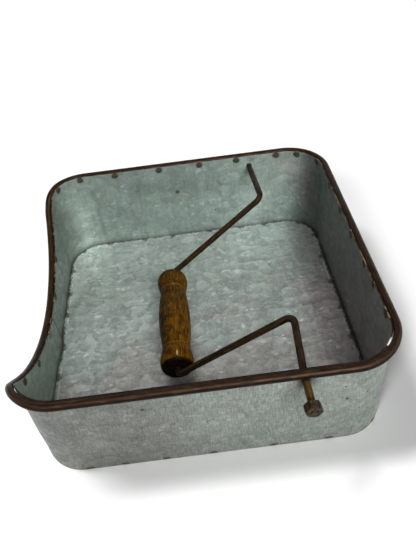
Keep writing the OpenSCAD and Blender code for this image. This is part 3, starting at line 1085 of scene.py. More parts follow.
@dataclass(frozen=True)
class TrayPlan:
    """The wall's outline seen from above, and the height of its top edge."""

    half_w: float
    half_d: float
    wall_h: float
    corner_r: float = 26 * MM
    sheet_t: float = 0.8 * MM
    scoop_depth: float = 43.2 * MM
    scoop_margin: float = 4.8 * MM
    shoulder_r: float = 20 * MM

    @classmethod
    def from_frame(cls) -> "TrayPlan":
        """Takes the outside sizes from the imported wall."""
        return cls(*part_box("wall_band")[1])

    @property
    def corner_arc(self) -> float:
        """Length of a corner's quarter circle on the outside face."""
        return self.corner_r * math.pi / 2

    @property
    def legs(self) -> Array:
        """Lengths of the five straights, from the scooped wall's middle round by the back."""
        line_x, line_y = self.half_w - self.corner_r, self.half_d - self.corner_r
        return np.array([line_y, 2 * line_x, 2 * line_y, 2 * line_x, line_y])

    @property
    def leg_starts(self) -> Array:
        """Run at which each straight begins."""
        return np.concatenate([[0.0], np.cumsum(self.legs[:-1] + self.corner_arc)])

    @property
    def loop(self) -> float:
        """Length of the whole outside face."""
        return float(self.legs.sum() + 4 * self.corner_arc)

    def on_back(self, x: float) -> float:
        """Run of the place x on the back wall."""
        return float(self.leg_starts[1] + self.half_w - self.corner_r + x)

    def on_front(self, x: float) -> float:
        """Run of the place x on the front wall."""
        return float(self.leg_starts[3] + self.half_w - self.corner_r - x)

    def off_start(self, run: Array) -> Array:
        """Run counted both ways from the scooped wall's middle: negative in front of it."""
        return np.mod(run + self.loop / 2, self.loop) - self.loop / 2

    def place(self, run: Array) -> tuple[Array, Array]:
        """Points on the outside face and their outward normals.

        The heading starts at +Y and turns clockwise by a quarter in each corner. A point is
        the start, plus what is walked of each straight along its heading, plus the corner
        radius times the change of the normal so far.

        Args:
            run: Distances along the outside face.

        Returns:
            Points and unit normals, both in plan.
        """
        run = np.mod(run, self.loop)[..., None]
        starts = self.leg_starts
        turned = np.clip((run - starts[1:]) / self.corner_arc + 1, 0, 1).sum(-1)
        facing = math.pi - turned * (math.pi / 2)
        out = np.stack([np.cos(facing), np.sin(facing)], -1)
        heading = math.pi / 2 - np.arange(5) * (math.pi / 2)
        legs_walked = np.clip(run - starts, 0, self.legs)
        point = legs_walked @ np.stack([np.cos(heading), np.sin(heading)], -1)
        first_out = np.array([-1.0, 0.0])
        return point + self.half_w * first_out + self.corner_r * (out - first_out), out

    def edge_height(self, run: Array) -> Array:
        """Height of the sheet's top edge: level but for the scooped wall, where one large
        arc lies between two shoulders and is tangent to both.

        Args:
            run: Distances along the outside face.

        Returns:
            Heights above the table.
        """
        point, _ = self.place(run)
        x, y = point[..., 0], np.abs(point[..., 1])
        end = self.half_d - self.scoop_margin
        centres = (end**2 + self.scoop_depth**2) / (2 * self.scoop_depth)
        scoop_r = centres - self.shoulder_r
        centre_z = self.wall_h - self.scoop_depth + scoop_r
        dip = centre_z - np.sqrt(np.maximum(scoop_r**2 - y**2, 0))
        drop = np.sqrt(np.maximum(self.shoulder_r**2 - (end - y) ** 2, 0))
        shoulder = self.wall_h - self.shoulder_r + drop
        tangent = end * scoop_r / centres
        return np.select([(x > 0) | (y > end), y > tangent], [self.wall_h, shoulder], dip)

    def chart(self, run: Array, height: Array, inset: Array) -> Array:
        """Places points of the wall in space.

        Args:
            run: Run of each point.
            height: Height of each point.
            inset: Distance of each point in from the outside face.

        Returns:
            Points in the frame.
        """
        point, out = self.place(run)
        plan = point - np.asarray(inset)[..., None] * out
        return np.concatenate([plan, np.broadcast_to(height, run.shape)[..., None]], -1)


@dataclass(frozen=True)
class WeldRow:
    """A row of spot welds along the wall: evenly spaced, with a seeded scatter, some moved one
    by one by so many millimetres, and a few extra ones."""

    first: float
    count: int
    spread: float
    seed: int
    moved: tuple[tuple[int, float], ...] = ()
    extra: tuple[float, ...] = ()

    def runs(self, plan: TrayPlan) -> Array:
        """Places the welds.

        Args:
            plan: The wall's outline.

        Returns:
            Run of each weld.
        """
        even = self.first + plan.loop * np.arange(self.count) / self.count
        off = np.random.default_rng(self.seed).uniform(-self.spread, self.spread, self.count)
        for number, shift in self.moved:
            off[number] = shift * MM
        return np.mod(np.concatenate([even + off, self.extra]), plan.loop)

    def gap(self, plan: TrayPlan, run: Array, depth: Array, weld_depth: float) -> Array:
        """Distance from each place to the nearest weld, measured on the surface.

        Args:
            plan: The wall's outline.
            run: Run of each place.
            depth: Depth or height of each place, from the line that the welds follow.
            weld_depth: The welds' own depth or height.

        Returns:
            Distances, in one flat row.
        """
        away = np.abs(plan.off_start(run[..., None] - self.runs(plan))).min(-1)
        return np.hypot(away, depth - weld_depth).ravel()


RIM_SHIFTS = (
    (2, 13.9), (3, 2.6), (4, -1.3), (5, 2.0), (6, 2.4), (7, 0.2), (8, 0.2), (9, 5.0),
    (10, 7.0), (11, 4.7), (13, -2.7), (14, 6.8), (22, 2.9), (23, -3.5), (24, -3.8),
)
FOOT_SHIFTS = ((17, -0.4), (18, 2.2), (19, 8.1), (20, 5.9), (21, 0.5), (22, -8.4))
RIM_WELDS = WeldRow(18 * MM, 25, 2 * MM, 4, RIM_SHIFTS, (282.6 * MM, 436 * MM))
FOOT_WELDS = WeldRow(8 * MM, 26, 2.5 * MM, 9, FOOT_SHIFTS)
SEAM_WELDS = WeldRow(-8 * MM, 29, 3.5 * MM, 12)
RIM_WELD_DEPTH = 2.4 * MM
FOOT_WELD_HEIGHT = 1.3 * MM


@dataclass
class WallSheet:
    """The wall: one strip of sheet bent round the tray, its ends lapped on the scooped
    wall, with a punched hole at each end of the arm's pivot line."""

    plan: TrayPlan
    pivot: Vector
    lap_edge: float = -3 * MM
    lap_len: float = 12 * MM
    lap_cut: float = 0.4 * MM
    lap_air: float = 0.03 * MM
    joggle_len: float = 6 * MM
    step: float = 1.5 * MM
    foot_band: float = 6 * MM
    row_steps: tuple[float, float, float] = (1 * MM, 2.4 * MM, 0.8 * MM)
    hole_r: float = 2.2 * MM
    block: float = 6.4 * MM
    block_ring: float = 2.4 * MM
    block_step: float = 0.8 * MM
    bow: float = 0.2 * MM
    bow_wave: float = 60 * MM
    bow_seed: int = 21
    foot_hold: float = 12 * MM
    rim_hold: float = 16 * MM
    dent_run: float = 643.5 * MM
    dent_left: float = 17.5 * MM
    dent_right: float = 9.8 * MM
    dent_top: float = 12.4 * MM
    dent_depth: float = 0.28 * MM
    dent_border: float = 0.16
    dent_foot: float = 4 * MM

    def inset(self, run: Array) -> Array:
        """How far the strip's inner end steps in, by the joggle, to lie on its outer end.

        Args:
            run: Run of each point.

        Returns:
            The step at each point.
        """
        joggle_start = self.plan.loop + self.lap_edge - self.lap_len - self.joggle_len
        step = self.plan.sheet_t + self.lap_air
        return step * smooth((run - joggle_start) / self.joggle_len)

    def round_hole(self, run: Array, height: Array, hole_run: float) -> tuple[Array, Array]:
        """Bends a square block of the grid round a hole: its inner square becomes the
        hole's circle, and the change fades out towards the block's edge.

        Args:
            run: Run of each point.
            height: Height of each point.
            hole_run: Run of the hole's centre.

        Returns:
            The bent runs and heights.
        """
        u, v = run - hole_run, height - self.pivot.z
        reach = np.maximum(np.maximum(np.abs(u), np.abs(v)), 1e-9)
        length = np.maximum(np.hypot(u, v), 1e-9)
        share = np.clip((reach - self.block_ring) / (self.block - self.block_ring), 0, 1)
        inside = reach <= self.block + 1e-9
        scale = (1 - share) * self.hole_r / length + share * self.block / reach
        bent_run = np.where(inside, hole_run + u * scale, run)
        return bent_run, np.where(inside, self.pivot.z + v * scale, height)

    def relief(self, run: Array, height: Array, edge: Array) -> Array:
        """How far the sheet stands in or out of true: a slow bow, and one shallow dent with
        a creased border. Both fade out at the edges, which the wire and the pan hold.

        Args:
            run: Run of each point.
            height: Height of each point.
            edge: Height of the top edge above each point's place on the table.

        Returns:
            Distance inwards at each point.
        """
        held = smooth(height / self.foot_hold) * smooth((edge - height) / self.rim_hold)
        place = np.stack([run, height * 1.4], -1)
        bow = self.bow * ripple(place, self.bow_wave, self.bow_seed) * held
        inside = smooth((1 - self.dent_ring(run, height)) / self.dent_border)
        return bow + self.dent_depth * inside * smooth(height / self.dent_foot)

    def dent_ring(self, run: Array, height: Array) -> Array:
        """1 on the dent's creased border, which is half an oval, less inside, more outside.

        Args:
            run: Run of each point.
            height: Height of each point.

        Returns:
            The value at each point.
        """
        off = run - self.dent_run
        across = np.where(off > 0, off / self.dent_left, off / self.dent_right)
        return np.hypot(across, height / self.dent_top)

    def columns(self, holes: list[float]) -> Array:
        """Places the grid's columns, fine and even in the block round each hole.

        Args:
            holes: Runs of the holes, in order.

        Returns:
            Run of each column.
        """
        block = np.arange(-self.block, self.block + self.block_step / 2, self.block_step)
        start, parts = self.lap_edge - self.lap_len + self.lap_cut, []
        for hole in holes:
            parts += [stations(start, hole - self.block, self.step)[:-1], hole + block[:-1]]
            start = hole + self.block
        last = self.plan.loop + self.lap_edge
        return np.concatenate([*parts, stations(start, last, self.step)])

    def rows(self) -> Array:
        """Places the grid's rows, fine at the foot, round the holes and at the top.

        Returns:
            Height of each row where the edge is level.
        """
        low, middle, high = self.row_steps
        block = np.arange(-self.block, self.block + self.block_step / 2, self.block_step)
        parts = [
            stations(0, self.foot_band, low)[:-1],
            stations(self.foot_band, self.pivot.z - self.block, middle)[:-1],
            self.pivot.z + block[:-1],
            stations(self.pivot.z + self.block, self.plan.wall_h, high),
        ]
        return np.concatenate(parts)

    def make(self, finishes: Finishes) -> bpy.types.Object:
        """Builds the strip as a grid of runs and heights, with both its skins.

        Args:
            finishes: The materials.

        Returns:
            The wall.
        """
        plan = self.plan
        holes = sorted([plan.on_back(self.pivot.x), plan.on_front(self.pivot.x)])
        columns, rows = self.columns(holes), self.rows()
        run = np.broadcast_to(columns, (len(rows), len(columns)))
        edge = plan.edge_height(run)
        height = rows[:, None] / plan.wall_h * edge
        quads, _ = grid(rows, columns, False, False)
        keep = np.ones(len(quads), bool)
        for hole in holes:
            centre_u = run.ravel()[quads].mean(1) - hole
            centre_v = height.ravel()[quads].mean(1) - self.pivot.z
            keep &= np.maximum(np.abs(centre_u), np.abs(centre_v)) > self.block_ring
            run, height = self.round_hole(run, height, hole)
        quads = quads[keep][:, ::-1]
        out_by = self.inset(run) + self.relief(run, height, edge)
        outer = plan.chart(run, height, out_by).reshape(-1, 3)
        inner = plan.chart(run, height, out_by + plan.sheet_t).reshape(-1, 3)
        uv = np.stack([run, height], -1).reshape(-1, 2)[quads]
        points, faces, uv, skins = thicken(outer, inner, quads, uv)
        used = np.zeros(len(points), bool)
        used[faces.ravel()] = True
        marks = {
            "rim_weld_gap": RIM_WELDS.gap(plan, run, edge - height, RIM_WELD_DEPTH),
            "foot_weld_gap": FOOT_WELDS.gap(plan, run, height, FOOT_WELD_HEIGHT),
            "crease_off": (self.dent_ring(run, height) - 1).ravel() * self.dent_top,
            "below_edge": (edge - height).ravel(),
        }
        marks = {name: np.tile(values, 2)[used] for name, values in marks.items()}
        materials = [finishes.wall_outside, finishes.wall_inside, finishes.sheet_edge]
        faces = (np.cumsum(used) - 1)[faces]
        piece = new_piece("wall_sheet", points[used], faces, uv, materials, marks, skins)
        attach(piece, "tray")
        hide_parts("wall_band")
        return piece


@dataclass
class FloorPan:
    """The floor: a sheet with a rounded fold and a flange turned down inside the wall."""

    plan: TrayPlan
    floor_h: float
    edge_r: float = 1.5 * MM
    fit: float = 0.1 * MM
    fine_band: float = 8 * MM
    flat_band: float = 19 * MM
    run_step: float = 1.6 * MM
    band_step: float = 1.1 * MM
    centre_share: float = 0.012
    weld_depth: float = 1.6 * MM
    sag: float = 0.22 * MM
    sag_wave: float = 55 * MM
    sag_start: float = 3 * MM
    sag_blend: float = 14 * MM
    sag_seed: int = 33
    rings: int = 30
    nip_ends: tuple[float, float] = (-22 * MM, -2 * MM)
    nip_blend: float = 1.5 * MM
    nip_depth: float = 0.95 * MM

    def section(self, radius: float, inset: float, height: float) -> tuple[Array, Array]:
        """One skin's section from the flange's foot over the fold and along the outer band.

        Args:
            radius: Radius of the fold on this skin.
            inset: Distance of the flange in from the pan's outside face.
            height: Height of the level part.

        Returns:
            Distance in from the pan's outside face, and height, of each row.
        """
        turn = np.linspace(0, math.pi / 2, 7)[1:]
        band = stations(self.edge_r, self.fine_band, self.band_step)[1:]
        band = np.append(band, stations(self.fine_band, self.flat_band, self.band_step)[1:])
        flange = self.floor_h - self.edge_r
        insets = [np.full(3, inset), self.edge_r - radius * np.cos(turn), band]
        heights = [np.linspace(0, flange, 3), flange + radius * np.sin(turn)]
        heights.append(np.full(len(band), height))
        return np.concatenate(insets), np.concatenate(heights)

    def make(self, finishes: Finishes) -> bpy.types.Object:
        """Builds the pan: its section is carried round the wall's outline, and inside the
        outer band the rings shrink evenly to the middle.

        Args:
            finishes: The materials.

        Returns:
            The pan.
        """
        plan = self.plan
        run = stations(0, plan.loop, self.run_step)
        shrink = np.linspace(1, self.centre_share, self.rings)[1:]
        outer = self.section(self.edge_r, 0, self.floor_h)
        inner_r = self.edge_r - plan.sheet_t
        inner = self.section(inner_r, plan.sheet_t, self.floor_h - plan.sheet_t)
        skins = [self.skin(run[:-1], *section, shrink) for section in (outer, inner)]
        depth = np.concatenate([outer[0], self.flat_band + (1 - shrink) * plan.half_w])
        quads, uv = grid(depth, run, False, True)
        points, faces, uv, _ = thicken(*skins, quads, uv[..., ::-1])
        step = way_out(points, faces)
        wide = np.broadcast_to(run[:-1], (len(depth), len(run) - 1))
        wide_depth = np.broadcast_to(depth[:, None], wide.shape)
        gap = SEAM_WELDS.gap(plan, wide, wide_depth, self.weld_depth)
        marks = {"seam_weld_gap": np.tile(gap, 2), "edge_gap": np.tile(wide_depth.ravel(), 2)}
        faces, uv = faces[:, ::step], uv[:, ::step]
        piece = new_piece("floor_sheet", points, faces, uv, [finishes.floor], marks)
        self.close_middle(piece.data, *wide.shape)
        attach(piece, "tray")
        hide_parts("floor_pan")
        return piece

    def skin(self, run: Array, inset: Array, height: Array, shrink: Array) -> Array:
        """Points of one skin of the pan, nipped in under the lap and sagging a little.

        Args:
            run: Runs of the columns.
            inset: Distance of each row in from the pan's outside face.
            height: Height of each row.
            shrink: Share of the last row's size at which each inner ring lies.

        Returns:
            Points, row after row.
        """
        plan = self.plan
        low, high = self.nip_ends
        away = plan.off_start(run)
        nip = smooth((away - low) / self.nip_blend) * smooth((high - away) / self.nip_blend)
        fade = smooth(1 - inset / self.fine_band)[:, None]
        from_face = plan.sheet_t + self.fit + self.nip_depth * nip * fade
        wide = np.broadcast_to(run, (len(inset), len(run)))
        outer = plan.chart(wide, height[:, None], from_face + inset[:, None])
        rings = outer[-1] * np.stack([shrink, shrink, np.ones_like(shrink)], -1)[:, None]
        points = np.concatenate([outer, rings])
        reach = np.concatenate([inset, self.flat_band + (1 - shrink) * plan.half_w])
        wave = ripple(points[..., :2], self.sag_wave, self.sag_seed)
        sag = self.sag * (0.5 - 0.5 * wave)
        free = smooth((reach - self.sag_start) / self.sag_blend)[:, None]
        points[..., 2] -= np.maximum(sag, 0) * free
        return points.reshape(-1, 3)

    @staticmethod
    def close_middle(mesh: bpy.types.Mesh, rows: int, cols: int) -> None:
        """Closes each skin's innermost ring with one face, in place of the bridge between
        the two rings.

        Args:
            mesh: The pan's mesh.
            rows: Rows of each skin.
            cols: Points in each row.
        """
        count = rows * cols
        rings = [range(end - cols, end) for end in (count, 2 * count)]
        work = bmesh.new()
        work.from_mesh(mesh)
        work.verts.ensure_lookup_table()
        inner = set().union(*rings)
        bridge = [f for f in work.faces if all(v.index in inner for v in f.verts)]
        bmesh.ops.delete(work, geom=bridge, context="FACES_ONLY")
        for points, up in zip(rings, (True, False)):
            face = work.faces.new([work.verts[i] for i in points])
            face.smooth = True
            face.normal_update()
            if (face.normal.z > 0) != up:
                face.normal_flip()
        work.to_mesh(mesh)
        work.free()


@dataclass
class RimWire:
    """Round wire along the outside of the wall's top edge, which it follows down the
    scoop and round the corners."""

    plan: TrayPlan
    wire_d: float = 4.6 * MM
    drop: float = 1.3 * MM
    gap: float = 0.15 * MM
    step: float = 0.9 * MM
    sides: int = 20
    unevenness: float = 0.008
    waves: tuple[float, float] = (6 * MM, 30 * MM)
    seed: int = 5

    def make(self, finishes: Finishes) -> bpy.types.Object:
        """Builds the wire as a closed tube along its centreline.

        Args:
            finishes: The materials.

        Returns:
            The wire.
        """
        plan = self.plan
        ends = stations(0, plan.loop, self.step)
        run = ends[:-1]
        out = np.concatenate([plan.place(run)[1], np.zeros((len(run), 1))], -1)
        height = plan.edge_height(run) - self.drop
        centre = plan.chart(run, height, np.full(len(run), -self.wire_d / 2 - self.gap))
        along = unit(np.roll(centre, -1, axis=0) - np.roll(centre, 1, axis=0))
        short, long = self.waves
        wave = ripple(centre, short, self.seed) + ripple(centre, long, self.seed + 1)
        wave = (wave - wave.max())[:, None] * np.ones(self.sides)
        radius = self.wire_d / 2 * (1 + self.unevenness * wave)
        points = tube(centre, -out, np.cross(out, along), radius)
        girth = math.pi * self.wire_d * np.arange(self.sides + 1) / self.sides
        quads, uv = grid(ends, girth, True, True)
        step = way_out(points, quads)
        piece = new_piece("rim_rod", points, quads[:, ::step], uv[:, ::step], [finishes.wire])
        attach(piece, "tray")
        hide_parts("rim_wire")
        return piece


@dataclass
class SpotWelds:
    """A row of weld nuggets: low ragged domes that hug the sheet. They stand inwards where
    way is 1 and outwards where it is -1."""

    plan: TrayPlan
    name: str = ""
    node: str = ""
    row: WeldRow = RIM_WELDS
    weld_r: float = 2.5 * MM
    weld_h: float = 0.3 * MM
    seed: int = 0
    way: int = 1
    squash: float = 1.0
    sides: int = 18
    sunk: float = 0.03 * MM
    ragged: float = 0.1
    rough: float = 0.25
    rough_wave: float = 1.4 * MM

    def centres(self, runs: Array) -> Array:
        """Height of the centre of a weld at each run."""
        raise NotImplementedError

    def inset(self, run: Array) -> Array:
        """Distance of the face that carries the welds in from the outside face."""
        raise NotImplementedError

    def make(self, finishes: Finishes) -> bpy.types.Object:
        """Builds every nugget at once: a dome whose height falls as the square root of one
        minus the squared radius, with a flat underside just inside the sheet.

        Args:
            finishes: The materials.

        Returns:
            The row of welds.
        """
        runs, angle = self.row.runs(self.plan), ring(self.sides)
        share = np.array([0.06, 0.6, 1.0, 0.93, 0.75, 0.45, 0.06])
        lift = np.sqrt(np.maximum(1 - share**2, 0))
        underside = 3
        lift[:underside] = 0
        number, turn = np.meshgrid(runs * 9, angle, indexing="ij")
        around = np.stack([number, np.cos(turn), np.sin(turn)], -1)
        ragged = 1 + self.ragged * ripple(around, 1.3, self.seed)
        reach = self.weld_r * share[None, :, None] * ragged[:, None, :]
        run = runs[:, None, None] + reach * np.cos(angle)
        height = self.centres(runs)[:, None, None] + self.squash * reach * np.sin(angle)
        bumps = ripple(np.stack([run, height], -1), self.rough_wave, self.seed + 1)
        rough = 1 + self.rough * bumps
        rise = self.weld_h * lift[None, :, None] * rough - self.sunk
        points = self.plan.chart(run, height, self.inset(run) + self.way * rise).reshape(-1, 3)
        each = len(share) * self.sides
        quads, _ = grid(share, np.arange(self.sides + 1), False, True)
        starts = np.arange(0, len(points), each)
        quads = (quads + starts[:, None, None]).reshape(-1, 4)
        step = way_out(points, quads)
        caps = np.array([np.arange(self.sides), np.arange(each - 1, each - self.sides - 1, -1)])
        caps = (caps[:, ::-step] + starts[:, None, None]).reshape(-1, self.sides)
        faces = quads[:, ::step].tolist() + caps.tolist()
        uv = points[np.concatenate(faces)][:, [1, 2]]
        piece = new_piece(self.name, points, faces, uv, [finishes.weld])
        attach(piece, "tray")
        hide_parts(self.node)
        return piece


@dataclass
class RimWelds(SpotWelds):
    """The welds on the wall's inside face, close below its top edge."""

    name: str = "rim_weld_nuggets"
    node: str = "rim_welds"
    seed: int = 41
    lap_zone: tuple[float, float] = (-18 * MM, -3 * MM)
    lap_blend: float = 4 * MM
    span: float = 1 * MM

    def centres(self, runs: Array) -> Array:
        """Places the welds at a depth below the edge that is measured square to it.

        Args:
            runs: Run of each weld.

        Returns:
            Height of each weld.
        """
        edge = self.plan.edge_height
        slope = edge(runs + self.span) - edge(runs - self.span)
        return edge(runs) - RIM_WELD_DEPTH * np.hypot(1, slope / (2 * self.span))

    def inset(self, run: Array) -> Array:
        """The inside face, which the lap lifts by one more sheet.

        Args:
            run: Run of each point.

        Returns:
            Distance of the face in from the outside face.
        """
        away = self.plan.off_start(run)
        low, high = self.lap_zone
        return self.plan.sheet_t * (1 + smooth((away - low) / self.lap_blend) * (away < high))


@dataclass
class FootWelds(SpotWelds):
    """The welds along the wall's foot, on its outside face."""

    name: str = "foot_weld_nuggets"
    node: str = "foot_welds"
    row: WeldRow = FOOT_WELDS
    weld_r: float = 2.7 * MM
    weld_h: float = 0.22 * MM
    seed: int = 51
    way: int = -1
    squash: float = 0.36

    def centres(self, runs: Array) -> Array:
        """Height of each weld above the table."""
        return np.full(len(runs), FOOT_WELD_HEIGHT)

    def inset(self, run: Array) -> Array:
        """The outside face."""
        return np.zeros_like(run)


# ---- The swing arm ----


@dataclass
class SwingArm:
    """The arm: one bent rod, sprung a little where it enters the walls, with a short
    thread and a rough cut at each end."""

    pivot: Vector
    grip_centre: Vector
    half_d: float
    front_end: float
    back_end: float
    rod_d: float = 4.2 * MM
    front_stub: float = 43 * MM
    back_stub: float = 46.7 * MM
    stub_lead: float = 5 * MM
    stub_lean: float = 2.8 * MM
    bends: tuple[float, float, float] = (60 * MM, 6 * MM, 4.2 * MM)
    grip_reach: float = 46.95 * MM
    front_thread: float = 19 * MM
    back_thread: float = 8 * MM
    thread_pitch: float = 0.8 * MM
    thread_depth: float = 0.2 * MM
    thread_fade: float = 1.5 * MM
    end_chamfer: float = 0.3 * MM
    unevenness: float = 0.011
    waves: tuple[float, float] = (5 * MM, 28 * MM)
    seed: int = 8
    nut_cover: float = 6 * MM
    sides: int = 20
    step: float = 0.9 * MM

    def centreline(self) -> Array:
        """The rod's path in the arm's plane: from the pivot line to the grip, and along Y.

        Returns:
            Points along the path, from the front end to the back end.
        """
        reach = (self.grip_centre - self.pivot).xz.length
        corners = [
            [0, self.front_end],
            [0, -self.half_d + self.stub_lead],
            [-self.stub_lean, -self.half_d + self.front_stub],
            [reach, self.grip_centre.y - self.grip_reach],
            [reach, self.grip_centre.y + self.grip_reach],
            [-self.stub_lean, self.half_d - self.back_stub],
            [0, self.half_d - self.stub_lead],
            [0, self.back_end],
        ]
        path = filleted(np.array(corners), [*self.bends, *self.bends[::-1]], self.step)
        front, back = self.front_end + self.front_thread, self.back_end - self.back_thread
        clear = self.step / 2
        body = path[(path[:, 1] > front + clear) & (path[:, 1] < back - clear)]
        fine = self.thread_pitch / 8
        places = stations(self.front_end, front, fine), stations(back, self.back_end, fine)
        threads = [np.stack([self.drift(path, y), y], -1) for y in places]
        return np.concatenate([threads[0], body, threads[1]])

    @staticmethod
    def drift(path: Array, y: Array) -> Array:
        """How far the path stands off the pivot line near its two ends.

        Args:
            path: Points along the path.
            y: Places along the pivot line.

        Returns:
            The distance at each place.
        """
        half = len(path) // 2
        near = np.interp(y, path[:half, 1], path[:half, 0])
        far = np.interp(y, path[half:, 1], path[half:, 0])
        return np.where(y < 0, near, far)

    def radius(self, path: Array, angle: Array) -> Array:
        """Radius by station and side: the rod, a little uneven, with a helical groove near
        each end and a chamfer at the cut.

        Args:
            path: Points along the path.
            angle: Angles of the sides.

        Returns:
            The radii.
        """
        y = path[:, 1:]
        to_end = np.minimum(y - self.front_end, self.back_end - y)
        short, long = self.waves
        wave = ripple(path, short, self.seed) + ripple(path, long, self.seed + 1)
        radius = self.rod_d / 2 * (1 + self.unevenness * wave[:, None] + 0 * angle)
        helix = 0.5 + 0.5 * np.cos(2 * math.pi * y / self.thread_pitch - angle)
        radius -= self.thread_depth * helix * self.threaded(y)
        return radius - self.end_chamfer * smooth(1 - to_end / self.end_chamfer)

    def threaded(self, y: Array) -> Array:
        """1 on the threads at the rod's two ends, fading to 0 where they run out."""
        front = smooth((self.front_end + self.front_thread - y) / self.thread_fade)
        return front + smooth((y - self.back_end + self.back_thread) / self.thread_fade)

    def make(self, finishes: Finishes) -> bpy.types.Object:
        """Builds the rod as a tube in the arm's plane, closed at both ends.

        Args:
            finishes: The materials.

        Returns:
            The arm.
        """
        path = self.centreline()
        reach = self.grip_centre - self.pivot
        reach.y = 0
        to_grip, along_y = np.array(reach.normalized()), np.array([0.0, 1.0, 0.0])
        origin = np.array([self.pivot.x, 0.0, self.pivot.z])
        centre = origin + path[:, :1] * to_grip + path[:, 1:] * along_y
        normal = np.broadcast_to(np.cross(to_grip, along_y), centre.shape)
        side = np.cross(unit(np.gradient(centre, axis=0)), normal)
        points = tube(centre, normal, side, self.radius(path, ring(self.sides)))
        girth = math.pi * self.rod_d * np.arange(self.sides + 1) / self.sides
        quads, uv = grid(walked(np.diff(centre, axis=0)), girth, False, True)
        step = way_out(points, quads)
        near = np.arange(self.sides)
        caps = np.array([near, near[::-1] + len(points) - self.sides])[:, ::-step]
        faces = quads[:, ::step].tolist() + caps.tolist()
        uv = np.concatenate([uv[:, ::step].reshape(-1, 2), np.zeros((2 * self.sides, 2))])
        shown = smooth((path[:, 1] - self.front_end - self.nut_cover) / (1 * MM))
        marks = {"thread": np.repeat(self.threaded(path[:, 1]) * shown, self.sides)}
        piece = new_piece("arm_rod", points, faces, uv, [finishes.rod], marks)
        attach(piece, "arm")
        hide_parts("swing_arm")
        return piece


@dataclass
class TurnedGrip:
    """The wooden grip: a slim barrel with a bead at each end and two scribed rings."""

    centre: Vector
    length: float
    belly_d: float
    neck_d: float = 18.7 * MM
    end_d: float = 18.4 * MM
    neck_inset: float = 17.8 * MM
    bead_inset: float = 5.8 * MM
    scribe_inset: float = 15.4 * MM
    scribe_band: float = 1 * MM
    scribe_w: float = 0.8 * MM
    scribe_depth: float = 0.4 * MM
    scribe_spread: float = 0.42
    bore_d: float = 4.4 * MM
    wear: tuple[float, float] = (0.09 * MM, 0.04 * MM)
    wear_waves: tuple[float, float] = (16 * MM, 5 * MM)
    most_swollen: float = 0.1 * MM
    allowance: float = 0.05 * MM
    seed: int = 14
    steps: tuple[float, float, float] = (1.1 * MM, 0.16 * MM, 0.9 * MM)
    sides: int = 72

    def profile(self, s: Array) -> Array:
        """Radius at the distance s from the middle: the belly falls to the neck as a
        quarter wave, and the bead rises as a half wave and rounds over as a quarter ellipse.

        Args:
            s: Distances from the middle, at least 0.

        Returns:
            The radii.
        """
        neck, bead = self.length / 2 - self.neck_inset, self.length / 2 - self.bead_inset
        rise = self.belly_d - self.neck_d
        belly = self.neck_d + rise * np.cos(math.pi / 2 * s / neck)
        swell = self.neck_d + rise * (1 - np.cos(math.pi * (s - neck) / (bead - neck))) / 2
        over = np.sqrt(np.maximum(1 - ((s - bead) / self.bead_inset) ** 2, 0))
        round_over = self.end_d + (self.belly_d - self.end_d) * over
        return np.select([s <= neck, s <= bead], [belly, swell], round_over) / 2

    def make(self, finishes: Finishes) -> bpy.types.Object:
        """Builds the turning: the outside, both end faces and the bore as one closed
        profile, carried round the rod.

        Args:
            finishes: The materials.

        Returns:
            The grip.
        """
        half = self.length / 2
        scribe, bead = half - self.scribe_inset, half - self.bead_inset
        low, high = scribe - self.scribe_band, scribe + self.scribe_band
        belly_step, scribe_step, neck_step = self.steps
        outside = [stations(0, low, belly_step)[:-1], stations(low, high, scribe_step)[:-1]]
        outside.append(stations(high, bead, neck_step)[:-1])
        outside.append(bead + self.bead_inset * np.sin(np.linspace(0, math.pi / 2, 14)))
        outside = np.concatenate(outside)
        y = np.concatenate([-outside[:0:-1], outside])
        cut = np.exp(-(((np.abs(y) - scribe) / (self.scribe_w * self.scribe_spread)) ** 2))
        radius = self.profile(np.abs(y)) - self.scribe_depth * cut
        face_r = np.linspace(self.end_d / 2, self.bore_d / 2, 8)[1:]
        bore_y = np.linspace(half, -half, 24)[1:]
        bore_r = np.full_like(bore_y, self.bore_d / 2)
        back_y, front_y = np.full_like(face_r, half), np.full_like(face_r[1:], -half)
        row_y = np.concatenate([y, back_y, bore_y, front_y])
        row_r = np.concatenate([radius, face_r, bore_r, face_r[-2::-1]])
        angle = ring(self.sides)
        wide = np.broadcast_to(row_r[:, None], (len(row_r), self.sides))
        along = np.broadcast_to(row_y[:, None], wide.shape)
        place = np.stack([wide * np.cos(angle), along, wide * np.sin(angle)], -1)
        (broad, fine), (long, short) = self.wear, self.wear_waves
        worn = broad * ripple(place, long, self.seed)
        worn += fine * ripple(place, short, self.seed + 1)
        worn = np.maximum(worn, -self.most_swollen) + self.allowance
        wide = wide - worn * (wide > self.bore_d).astype(float)
        points = np.stack([wide * np.cos(angle), along, wide * np.sin(angle)], -1)
        points = (np.array(self.centre) + points).reshape(-1, 3)
        girth = math.pi * self.belly_d * np.arange(self.sides + 1) / self.sides
        path = walked(np.stack([np.diff(row_y), np.diff(row_r)], -1))
        quads, uv = grid(np.append(path, path[-1] + 1 * MM), girth, True, True)
        step = way_out(points, quads)
        quads, uv = quads[:, ::step], uv[:, ::step, ::-1]
        groove = np.concatenate([cut, np.zeros(len(row_y) - len(cut))])
        marks = {"end_gap": half - np.abs(row_y), "groove": groove}
        marks = {name: np.repeat(values, self.sides) for name, values in marks.items()}
        piece = new_piece("turned_grip", points, quads, uv, [finishes.wood], marks)
        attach(piece, "grip")
        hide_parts("grip")
        return piece


